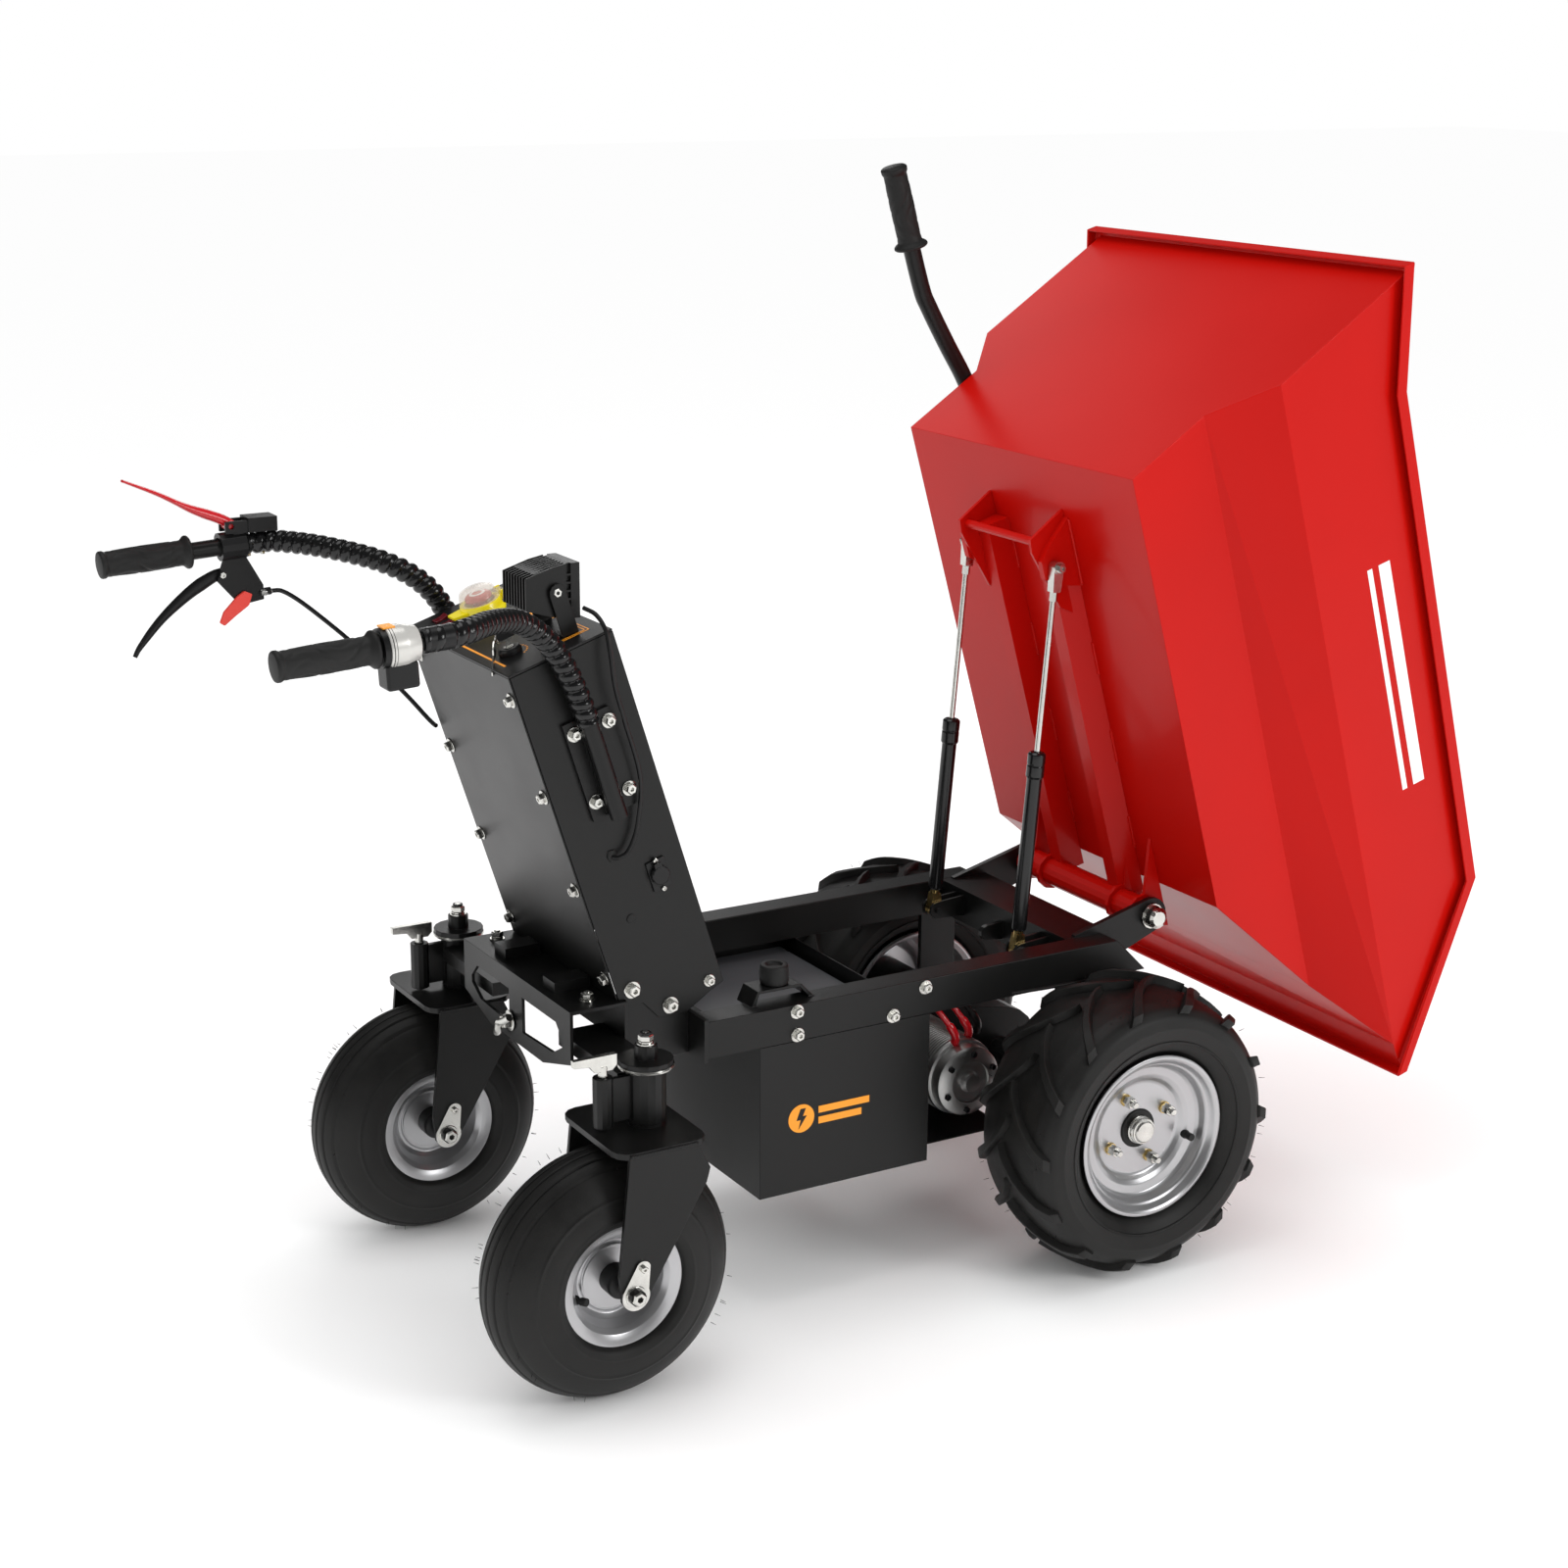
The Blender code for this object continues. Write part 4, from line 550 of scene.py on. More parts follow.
def carcass_point(across):
    """Radius and offset on the carcass: across is 0 at the tread's middle and 1 at the bead."""
    run = np.concatenate([[0], np.cumsum(np.linalg.norm(np.diff(CARCASS[::-1], axis=0), axis=1))])
    run /= run[-1]
    return (np.interp(across, run, CARCASS[::-1, 0]), np.interp(across, run, CARCASS[::-1, 1]))


def wheel_place(radius, angle, offset, centre):
    """A place at a radius and an angle (0 ahead, 90 degrees up) about an axle, offset along it."""
    return np.stack([centre[0] + radius * np.cos(angle), centre[1] + offset,
                     centre[2] + radius * np.sin(angle)], -1)


def lug(angle, side, centre):
    """One bar. Rows run from the tread's middle to the shoulder, columns over the bar's section."""
    s = np.linspace(0, 1, 12)[:, None]
    section = np.array([(-1.25, -0.12), (-1.0, 0.0), (-0.86, 0.9), (-0.70, 1.0), (0.70, 1.0),
                        (0.86, 0.9), (1.0, 0.0), (1.25, -0.12)])
    across = -0.035 + 0.515 * s
    radius, offset = carcass_point(np.abs(across))
    offset = offset * np.where(across < 0, -1, 1)
    half = (0.0052 + 0.0042 * s) / radius
    centre_angle = angle + LUG_LEAN * s ** 0.75
    tall = LUG_TALL * np.clip(np.minimum(1.0, (1.02 - s) / 0.05), 0.0, 1.0) * (1 - 0.15 * s)
    tall = np.minimum(tall, DRIVE_R - radius + 0.004 * s)
    tilt = np.clip((np.abs(across) - 0.22) / 0.30, 0, 1) * 1.05
    rise = section[None, :, 1] * tall
    r = radius + rise * np.cos(tilt)
    y = offset + rise * np.sin(tilt)
    a = centre_angle + section[None, :, 0] * half
    y = np.clip(y, -DRIVE_HALF, DRIVE_HALF)
    return shape(wheel_place(r, a, side * y, centre), ends=True)


def hairs(count, radius, offset, centre, side, reach, low_limit=0.02):
    """Moulding whiskers: thin three-sided spikes on the shoulder, none near the ground."""
    out = []
    for angle in RNG.uniform(0, 2 * np.pi, count):
        lean = RNG.uniform(-0.4, 0.4)
        length = reach * RNG.uniform(0.6, 1.0)
        a = wheel_place(radius, angle, side * offset, centre)
        b = wheel_place(radius + length * 0.75, angle + 0.02 * lean,
                        side * (offset + length * 0.55), centre)
        if b[2] < low_limit:
            continue
        path = np.stack([a, 0.5 * (a + b), b])
        out.append(tube(path, [0.0005, 0.0004, 0.0002], 3, ref=(0.31, 0.87, 0.38)))
    return out


def drive_tyre(name, side):
    """Carcass with its side ring, 2 x 14 bars and a few whiskers, as one piece."""
    centre = chassis(0, side * DRIVE_Y, DRIVE_R)
    outer = rounded(np.vstack([CARCASS, [(r, -y) for r, y in CARCASS[-2::-1]]]), 0.004)
    inner = [(0.1080, -0.046), (0.1700, -0.066), (0.1800, -0.030), (0.1800, 0.030), (0.1700, 0.066),
             (0.1080, 0.046)]
    shapes = [turned(np.vstack([outer, inner]), centre, (0, 1, 0), 128, closed=True)]
    for flank in (1, -1):
        stagger = 0.5 if flank == 1 else 0.0
        shapes += [lug(2 * np.pi * (k + stagger) / LUG_COUNT, flank, centre)
                   for k in range(LUG_COUNT)]
        shapes.append(turned([(0.1345, flank * 0.0772), (0.1352, flank * 0.0788),
                              (0.1368, flank * 0.0794),
                              (0.1376, flank * 0.0786)], centre, (0, 1, 0), 128, closed=True))
    body = "drive_wheel_" + name
    make("drive_tread_" + name, shapes, TYRE, body, smooth=32, stands_for=["drive_tyre_" + name])
    spikes = hairs(46, 0.188, 0.064, centre, 1, 0.009) + hairs(30, 0.188, 0.064, centre, -1, 0.009)
    make("drive_hairs_" + name, spikes, TYRE, body, smooth=0)


for wing, wheel_side in SIDES:
    drive_tyre(wing, wheel_side)

# %% [markdown]
# ## Drive rims
# The rim is a spun dish. Its well, bead seats and lip are one profile. The hub shows as a
# grooved cap in a dark ring, with four long nuts on coloured conical washers round it, and a
# rubber valve stands in the dish wall.

# %% Rims, nuts and valves
NUT_CIRCLE, NUT_TURN, HUB_FACE = 0.0488, math.radians(25.5), 0.033
DISH = [(0.0275, 0.0330), (0.0640, 0.0330), (0.0680, 0.0345), (0.0730, 0.0390), (0.0790, 0.0420),
        (0.0900, 0.0440), (0.0940, 0.0475), (0.0965, 0.0560), (0.0985, 0.0585), (0.1010, 0.0595),
        (0.1035, 0.0625), (0.1060, 0.0665), (0.1100, 0.0690), (0.1144, 0.0680), (0.1144, 0.0655),
        (0.1100, 0.0650), (0.1040, 0.0575), (0.0990, 0.0400), (0.0930, 0.0250), (0.0930, -0.0200),
        (0.0990, -0.0350), (0.1040, -0.0575), (0.1100, -0.0650), (0.1144, -0.0655),
        (0.1144, -0.0680),
        (0.1100, -0.0690), (0.1035, -0.0640), (0.0960, -0.0450), (0.0895, -0.0200),
        (0.0895, 0.0200),
        (0.0860, 0.0400), (0.0780, 0.0390), (0.0720, 0.0350), (0.0670, 0.0310), (0.0640, 0.0295),
        (0.0275, 0.0295)]


def valve(place, axis, tall):
    """Rubber valve stem with its cap."""
    return [turned(rounded([(0, -0.004), (0.0062, -0.004), (0.0062, 0.004), (0.0042, 0.007),
                            (0.0040, tall - 0.009),
                            (0.0052, tall - 0.009), (0.0052, tall), (0, tall)], 0.0006), place,
                   axis, 20)]


def drive_rim(name, side):
    """Rim dish, hub and axle stub, with nuts, washers and valve as pieces of their own."""
    axis = np.array([0, side, 0.0])
    body, centre = "drive_wheel_" + name, chassis(0, side * DRIVE_Y, DRIVE_R)
    make("drive_dish_" + name, turned(rounded(DISH, 0.0012), centre, axis, 96, closed=True), SILVER,
         body, smooth=40, stands_for=["drive_rim_" + name])
    hub = [(0, 0.036), (0.0265, 0.036), (0.0275, 0.034), (0.0275, 0.026), (0.045, 0.024),
           (0.045, -0.060),
           (0.0245, -0.064), (0.0245, -0.080), (0.0125, -0.080), (0.0125, -0.170), (0, -0.170)]
    make("drive_hub_" + name, turned(rounded(hub, 0.001), centre, axis, 48), POWDER, body)
    cap = [(0, 0.0520), (0.0135, 0.0520), (0.0150, 0.0505), (0.0155, 0.0490), (0.0175, 0.0485),
           (0.0180, 0.0470), (0.0172, 0.0455), (0.0185, 0.0445), (0.0192, 0.0425), (0.0185, 0.0405),
           (0.0198, 0.0395), (0.0198, 0.0350), (0, 0.0350)]
    make("drive_cap_" + name, turned(cap, centre, axis, 48), ZINC, body)
    nuts, cones = [], []
    for k in range(4):
        angle = NUT_TURN + k * np.pi / 2
        at_nut = wheel_place(NUT_CIRCLE, angle, side * HUB_FACE, centre)
        cones.append(turned([(0, -0.001), (0.0088, -0.001), (0.0082, 0.0028), (0, 0.0028)], at_nut,
                            axis, 24))
        nuts.append(turned([(0, 0.0020), (0.0075, 0.0020), (0.0080, 0.0035), (0.0080, 0.0140),
                            (0.0072, 0.0155), (0, 0.0155)], at_nut, axis, 6, start=angle))
        nuts += stud(at_nut, axis, 0.0047, 0.0225)
    make("lug_nuts_" + name, nuts, ZINC, body)
    make("lug_cones_" + name, cones, YELLOW_ZINC, body)
    at_valve = wheel_place(0.0790, math.radians(-16), side * 0.040, centre)
    make("drive_valve_" + name, valve(at_valve, axis, 0.017), GRIP, body)


for wing, wheel_side in SIDES:
    drive_rim(wing, wheel_side)

# %% [markdown]
# ## Caster wheels
# The caster tyres carry straight ribs. Their profile is a smooth arch whose crown dips into
# five narrow grooves, so a cosine of the place across the tread does the whole job.

# %% Ribbed tyres and pressed rims
CASTER_R, CASTER_Y, CASTER_HALF, CASTER_X, SWIVEL_X = 0.163, 0.281, 0.0625, -0.7806, -0.7212
RIB_GROOVE, RIB_BAND = 0.0032, 0.66
CROWN_Z, KINGPIN_TOP = 0.347, 0.4476


def ribbed_profile():
    """Outer half-ellipse from bead to bead; grooves where the tread is nearly flat."""
    t = np.linspace(-1, 1, 181)
    angle = t * 2.05
    past = np.maximum(np.abs(angle) - np.pi / 2, 0)
    y = CASTER_HALF * np.sin(np.clip(angle, -np.pi / 2, np.pi / 2)) * (1 - 0.55 * past ** 1.5)
    deep = 0.5 * (1 - np.cos(np.abs(t) * np.pi))
    r = CASTER_R - 0.0835 * deep ** 1.12
    across = y / CASTER_HALF
    groove = np.clip(1 - np.abs(((across * 4.4) % 1) - 0.5) / 0.13, 0, 1)
    r = r - RIB_GROOVE * groove * (np.abs(across) < RIB_BAND)
    ring = (0.0011 * np.exp(-((r - 0.118) / 0.0016) ** 2)
            + 0.0008 * np.exp(-((r - 0.092) / 0.002) ** 2))
    return np.stack([r, y + np.sign(y) * ring], 1)


def caster_wheel(name, side):
    """Tyre, rim, hub seals and valve of one caster."""
    axis = np.array([0, side, 0.0])
    body, centre = "caster_wheel_" + name, chassis(CASTER_X, side * CASTER_Y, CASTER_R)
    inner = [(0.0700, 0.034), (0.1300, 0.048), (0.1500, 0.020), (0.1500, -0.020), (0.1300, -0.048),
             (0.0700, -0.034)]
    make("caster_tread_" + name,
         turned(np.vstack([ribbed_profile(), inner]), centre, axis, 112, closed=True),
         TYRE, body, smooth=28, stands_for=["caster_tyre_" + name])
    spikes = hairs(40, 0.150, 0.043, centre, 1, 0.009,
                   0.016) + hairs(26, 0.150, 0.043, centre, -1, 0.009, 0.016)
    make("caster_hairs_" + name, spikes, TYRE, body, smooth=0)
    half = [(0.0185, 0.0240), (0.0400, 0.0215), (0.0425, 0.0225), (0.0445, 0.0205),
            (0.0480, 0.0200),
            (0.0540, 0.0260), (0.0600, 0.0400), (0.0660, 0.0470), (0.0720, 0.0495),
            (0.0790, 0.0520),
            (0.0830, 0.0510), (0.0830, 0.0490), (0.0780, 0.0470), (0.0680, 0.0400),
            (0.0620, 0.0200)]
    back = [(r, -h) for r, h in reversed(half)]
    rim = rounded(half + back + [(0.0185, 0.010)], 0.0010)
    make("caster_dish_" + name, turned(rim, centre, axis, 96, closed=True), SILVER, body, smooth=40,
         stands_for=["caster_rim_" + name])
    tube_profile = [(0.0070, 0.0520), (0.0120, 0.0520), (0.0180, 0.0500), (0.0195, 0.0460),
                    (0.0195, -0.0460), (0.0180, -0.0500), (0.0120, -0.0520), (0.0070, -0.0520)]
    make("caster_hub_" + name, turned(rounded(tube_profile, 0.001), centre, axis, 40, closed=True),
         PLASTIC, body)
    at_valve = wheel_place(0.0585, math.radians(194), side * 0.0300, centre)
    make("caster_valve_" + name, valve(at_valve, axis + np.array([0.5, 0, 0.1]), 0.020), GRIP, body)


for wing, wheel_side in SIDES:
    caster_wheel(wing, wheel_side)

# %% [markdown]
# ## Weld beads, bolts and springs of the frame
# A weld bead is a thin tube whose radius ripples. Bolts stand wherever two plates meet.

# %% Weld beads and frame fasteners
def bead(path, radius, name, material, body, step=0.0036):
    """A weld bead: a row of overlapping ripples along a path."""
    rough_path = curve(path, 60)
    length = np.linalg.norm(np.diff(rough_path, axis=0), axis=1).sum()
    count = max(8, int(length / step) * 4)
    ripple = radius * (0.82 + 0.18 * np.abs(np.sin(np.arange(count) * np.pi / 4)))
    ripple[[0, -1]] *= 0.4
    return make(name, tube(curve(path, count), ripple, 8, ref=(0.36, 0.48, 0.8)), material, body,
                smooth=60)


for wing, wheel_side in SIDES:
    out = np.array([0, wheel_side, 0.0])
    rail_holes = ((-0.458, 0.412), (-0.457, 0.380), (-0.311, 0.379), (-0.261, 0.410))
    make("rail_bolts_" + wing, bolts([chassis(x, wheel_side * 0.1952, z) for x, z in rail_holes],
                                     out, 0.0062), ZINC, "chassis")
    bead([chassis(-0.122, wheel_side * 0.1950, 0.376), chassis(-0.06, wheel_side * 0.1955, 0.3735),
          chassis(0.016, wheel_side * 0.1950, 0.372)], 0.0028, "rail_weld_" + wing, POWDER,
         "chassis")
    fork_body = "fork_" + wing
    y = wheel_side * CASTER_Y
    for k, flank in enumerate((1, -1)):
        seam = [chassis(x, y + flank * edge, CROWN_Z - 0.004)
                for x, edge in ((-0.785, 0.0815), (-0.740, 0.0825), (-0.694, 0.0815))]
        bead(seam, 0.0026, "crown_weld_%s_%d" % (wing, k), POWDER, fork_body)
        away = np.array([0, flank, 0.0])
        axle_end = chassis(CASTER_X, y + flank * 0.0822, CASTER_R)
        keeper = []
        around = np.linspace(-np.pi * 1.12, np.pi * 0.12, 16)
        ring = [(CASTER_X + 0.0185 * math.cos(t), CASTER_R + 0.0185 * math.sin(t)) for t in around]
        tip = np.linspace(0.1 * np.pi, 0.9 * np.pi, 8)
        ring += [(CASTER_X + 0.010 + 0.0100 * math.cos(t), CASTER_R + 0.034 + 0.0100 * math.sin(t))
                 for t in tip]
        keeper.append(slab([axle_end - chassis(CASTER_X, 0, CASTER_R) + chassis(x, 0, z)
                            for x, z in ring],
                           (0, flank * 0.0028, 0)))
        keeper += bolt(axle_end + away * 0.0028, away, 0.0085)
        keeper += bolt(chassis(CASTER_X + 0.010, y + flank * 0.0850, CASTER_R + 0.034), away,
                       0.0042, washer=False)
        make("axle_keeper_%s_%d" % (wing, k), keeper, ZINC, fork_body, smooth=30)
    kingpin = nut_on_stud(chassis(SWIVEL_X, y, KINGPIN_TOP), (0, 0, 1), 0.0068, 0.0148)
    kingpin.append(turned([(0.0345, 0.4195), (0.0352, 0.4215), (0.0345, 0.4235), (0.0338, 0.4215)],
                          chassis(SWIVEL_X, y, 0), (0, 0, 1), 40, closed=True))
    make("kingpin_nut_" + wing, kingpin, ZINC, fork_body, smooth=30)
    buffer_centre = chassis(-0.470, wheel_side * 0.1565, 0.4413)
    bulge = rounded([(0, 0), (0.0180, 0), (0.0193, 0.006), (0.0194, 0.016), (0.0182, 0.0258),
                     (0.0110, 0.0262), (0.0100, 0.0225), (0, 0.0225)], 0.0018)
    make("buffer_" + wing, turned(bulge, buffer_centre, (0, 0, 1), 48), GRIP, "chassis",
         stands_for=["rubber_buffer_" + wing])

# %% Rear crossmember and pivot fasteners
rear_bits = []
for wheel_side in (LEFT, RIGHT):
    for x, z in ((-0.675, 0.468), (-0.621, 0.438)):
        rear_bits += bolt(chassis(x, wheel_side * 0.1552, z), (0, wheel_side, 0), 0.0072)
    rear_bits += bolt(chassis(-0.565, wheel_side * 0.1552, 0.461), (0, wheel_side, 0), 0.0052)
make("tower_foot_bolts", rear_bits, ZINC, "chassis")
make("strut_foot_bolts", [piece for s in (LEFT, RIGHT) for piece in
                          bolt(chassis(-0.051, s * 0.1135, 0.398), (0, s, 0), 0.0070)], ZINC,
     "chassis")
print("frame fasteners and welds made")

# %% [markdown]
# ## Handlebars, sleeves and grips
# Both bars follow one route, mirrored. The ribbed sleeve is a tube whose radius
# follows a helix, and the grips add swirling grooves to a turned profile, so both are the
# same ring-along-a-path with a radius that depends on place and angle.

# %% Bars and sleeves
GRIP_END, BAR_Z, BAR_RISE, GRIP_Y = -1.180, 0.9745, math.radians(3.3), 0.315
GRIP_LONG, STRAIGHT, BAR_R, WRAP_R = 0.117, 0.198, 0.0111, 0.0142
BAR_AHEAD = np.array([math.cos(BAR_RISE), 0, math.sin(BAR_RISE)])
BAR_UP = np.array([-math.sin(BAR_RISE), 0, math.cos(BAR_RISE)])


def bar(t, side, across=0.0, high=0.0):
    """A place t along a straight bar end, across from its middle and high above its axis."""
    return chassis(GRIP_END, side * GRIP_Y + across, BAR_Z) + t * BAR_AHEAD + high * BAR_UP


def bar_route(side):
    """The bar's route from the grip's end to its clamp."""
    bends = [(-0.950, 0.3040, 0.987), (-0.900, 0.2560, 0.982), (-0.842, 0.2020, 0.966),
             (-0.797, 0.1800, 0.936), (-0.766, 0.1755, 0.890), (-0.740, 0.1750, 0.828)]
    straight = [bar(t, side) for t in (0.006, 0.090, 0.168, STRAIGHT)]
    return np.array(straight + [chassis(x, side * y, z) for x, y, z in bends])


def helix_sleeve(path, radius, depth, pitch, ref, sides=24):
    """A ribbed hose: its radius rises and falls along a helix."""
    length = np.linalg.norm(np.diff(path, axis=0), axis=1).sum()
    rows = int(length / pitch * 9)
    path = curve(path, rows)
    s = np.linspace(0, length, rows)[:, None]
    angle = np.linspace(0, 2 * np.pi, sides, endpoint=False)[None]
    wave = np.abs(np.sin(np.pi * s / pitch + angle / 2))
    return tube(path, radius - depth * (1 - wave) ** 1.6, sides, ref=ref)


for wing, wheel_side in SIDES:
    route = bar_route(wheel_side)
    low_end = chassis(-0.700, wheel_side * 0.1750, 0.703)
    plate = [(-0.768, 0.8220), (-0.706, 0.8400), (-0.664, 0.7140), (-0.727, 0.6960)]
    web = [(-0.747, 0.820), (-0.727, 0.826), (-0.693, 0.712), (-0.713, 0.706)]
    make("handlebar_tube_" + wing,
         [tube(curve(np.vstack([route, low_end]), 120), BAR_R, 24,
               ref=(0.5, 0.8 * wheel_side, 0.3)),
          slab([chassis(x, wheel_side * 0.1556, z) for x, z in plate], (0, wheel_side * 0.0046, 0)),
          slab([chassis(x, wheel_side * 0.1590, z) for x, z in web], (0, wheel_side * 0.0090, 0))],
         POWDER, "chassis", stands_for=["handlebar_" + wing])
    start = STRAIGHT + (0.001 if wheel_side == LEFT else -0.026)
    keep = route[4:] if wheel_side == LEFT else route[3:]
    sleeve = [helix_sleeve(np.vstack([[bar(start, wheel_side)], keep]), WRAP_R + 0.0006, 0.0036,
                           0.0135, (0.5, 0.8 * wheel_side, 0.3))]
    make("ribbed_sleeve_" + wing, sleeve, HOSE, "chassis", smooth=70,
         stands_for=["bar_wrap_" + wing])
    clamp_holes = ((-0.752, 0.810), (-0.706, 0.822), (-0.724, 0.722), (-0.679, 0.733))
    make("clamp_bolts_" + wing, bolts([chassis(x, wheel_side * 0.1603, z) for x, z in clamp_holes],
                                      (0, wheel_side, 0), 0.0062), ZINC, "chassis")

make("sleeve_collar",
     [tube(np.array([bar(t, RIGHT) for t in (0.170, 0.176, 0.200, 0.206)]), 0.0146, 28,
           ref=(0, 1, 0))],
     PLASTIC, "chassis")

# %% Grips
def s_wave(angle, along):
    """Six S-shaped ridges round a grip: 1 on a ridge and 0 between two. along runs from 0 to 1."""
    return 0.5 + 0.5 * np.cos(6 * (angle + 0.75 * np.sin(2 * np.pi * along * 1.15)))


def swirl_grip(name, start, side, body, node):
    """Turned grip: end cap, waist, flange, with six S-shaped grooves round its middle."""
    t = np.array([0, 0.0006, 0.002, 0.0055, 0.007, 0.009, 0.011])
    r = np.array([0.0150, 0.0168, 0.0176, 0.0176, 0.0168, 0.0158, 0.0162])
    body_t = np.linspace(0.013, GRIP_LONG - 0.012, 64)
    middle = (body_t - body_t[0]) / (body_t[-1] - body_t[0])
    t_all = np.concatenate([t, body_t,
                            GRIP_LONG - np.array([0.009, 0.0065, 0.0045, 0.003, 0.001, 0.0])])
    r_all = np.concatenate([r, 0.0163 + 0.0009 * np.sin(np.pi * middle),
                            [0.0170, 0.0195, 0.0212, 0.0215, 0.0211, 0.0200]])
    sides = 60
    angle = np.linspace(0, 2 * np.pi, sides, endpoint=False)[None]
    groove = np.zeros((len(t_all), sides))
    wave = s_wave(angle, middle[:, None])
    cross = 0.5 + 0.5 * np.cos(3 * (angle - 1.1 * middle[:, None]) + 1)
    fade = np.sin(np.pi * middle[:, None]) ** 0.4
    main, faint = np.clip((wave - 0.72) / 0.28, 0, 1), np.clip((cross - 0.9) / 0.1, 0, 1)
    groove[len(t):len(t) + 64] = fade * (main + 0.5 * faint)
    path = np.array([bar(start + v, side) for v in t_all])
    make(name, tube(path, r_all[:, None] - 0.0011 * groove, sides, ref=(0, 1, 0)), GRIP, body,
         smooth=50, stands_for=[node])


swirl_grip("moulded_grip_left", 0.0, LEFT, "chassis", "grip_left")
swirl_grip("moulded_grip_right", 0.0, RIGHT, "throttle", "throttle_grip")
print("bars, sleeves and grips made")

# %% [markdown]
# ## Throttle, brake and presence levers
# The throttle body is turned about the bar with a switch pod under it. The brake lever is
# a blade whose section changes along a curve: thick at the pin, thin and flat at the tip.

# %% Throttle body
throttle_profile = rounded([(0.0123, 0.0070), (0.0236, 0.0070), (0.0243, 0.0100), (0.0240, 0.0270),
                            (0.0195, 0.0440), (0.0123, 0.0440)], 0.0016)
make("throttle_body", turned(throttle_profile, bar(0.120, RIGHT), BAR_AHEAD, 48), HOUSING,
     "chassis", stands_for=["throttle_housing"])
make("throttle_rings",
     [turned([(0.0125, 0.0), (0.0222, 0.0), (0.0228, 0.0064), (0.0125, 0.0064)], bar(0.120, RIGHT),
             BAR_AHEAD, 40),
      turned([(0.0236, 0.009), (0.02425, 0.0095), (0.02425, 0.0135), (0.0236, 0.014)],
             bar(0.120, RIGHT), BAR_AHEAD, 48, closed=True)], PLASTIC, "chassis")


def bar_block(t0, t1, y0, y1, h0, h1, side):
    """A box in the frame of a bar end."""
    return slab([bar(t, side, y, h0) for t, y in corners(t0, t1, y0, y1)], (h1 - h0) * BAR_UP)


pod = make("throttle_pod", [bar_block(0.1215, 0.1600, -0.0150, 0.0150, -0.0470, -0.0165, RIGHT)],
           PLASTIC, "chassis")
bevel(pod, 0.0040, 3)
make("throttle_marks", [bar_block(0.124, 0.138, -0.009, 0.009, 0.0225, 0.02425, RIGHT)], ORANGE,
     "chassis")

# %% Brake lever and its red latch
def blade(path, thick, wide, sides=20):
    """A rounded bar along a path in the XZ plane: thick in that plane, wide across it."""
    path = curve(path, 40)
    t = np.linspace(0, 1, 40)
    thick = np.interp(t, np.linspace(0, 1, len(thick)), thick)
    wide = np.interp(t, np.linspace(0, 1, len(wide)), wide)
    return tube(path, thick, sides, ref=(0, 1, 0), wide=wide / thick)


lever_y = 0.3208
lever_line = [(-1.0190, 0.9480), (-1.0330, 0.9440), (-1.0640, 0.9265), (-1.1010, 0.8970),
              (-1.1310, 0.8640), (-1.1395, 0.8505)]
make("brake_blade", blade([chassis(x, lever_y, z) for x, z in lever_line],
                          [0.0075, 0.0090, 0.0075, 0.0060, 0.0050, 0.0030],
                          [0.0045, 0.0045, 0.0045, 0.0045, 0.0045, 0.003]),
     PLASTIC, "brake_lever", smooth=50, stands_for=["brake_lever"])
pins = bolt(chassis(-1.0220, 0.3255, 0.9480), (0, 1, 0), 0.0040, washer=False)
pins += bolt(chassis(-1.0220, 0.3100, 0.9480), (0, -1, 0), 0.0038, washer=False)
make("lever_pins", pins, ZINC, "chassis")
make("cable_ferrule",
     [turned(rounded([(0, 0), (0.0046, 0), (0.0052, 0.003), (0.0052, 0.010), (0.0038, 0.013),
                      (0.0038, 0.017), (0, 0.017)], 0.0006), chassis(-0.9735, 0.3130, 0.9202),
             (1, 0, -0.03), 24)], ALUMINIUM, "chassis")

# %% Presence lever
dead_line = [(-1.0065, 1.0112), (-1.0200, 1.0200), (-1.0600, 1.0370), (-1.1000, 1.0585),
             (-1.1440, 1.0785)]
hub = turned(rounded([(0, -0.0095), (0.0070, -0.0095), (0.0070, 0.0095), (0, 0.0095)], 0.0010),
             chassis(-1.0100, 0.315, 1.0112), (0, 1, 0), 28)
make("presence_blade",
     [blade([chassis(x, 0.315, z) for x, z in dead_line], [0.0070, 0.0066, 0.0036, 0.0027, 0.0018],
            [0.0080, 0.0085, 0.0085, 0.0080, 0.0060], 16), hub], SIGNAL_RED, "deadman_lever",
     smooth=50, stands_for=["deadman_lever"])
band_bits, band_heads = [], []
for t in (0.2070, 0.2260):
    band_bits.append(turned([(0.0126, -0.0018), (0.0137, -0.0018), (0.0137, 0.0018),
                             (0.0126, 0.0018)],
                            bar(t - 0.012, LEFT), BAR_AHEAD, 36, closed=True))
    band_heads += bolt(bar(t - 0.012, LEFT, 0.0, -0.0137), -BAR_UP, 0.0030, washer=False)
make("clamp_bands", band_bits, PLASTIC, "chassis")
make("clamp_band_screws", band_heads, ZINC, "chassis")

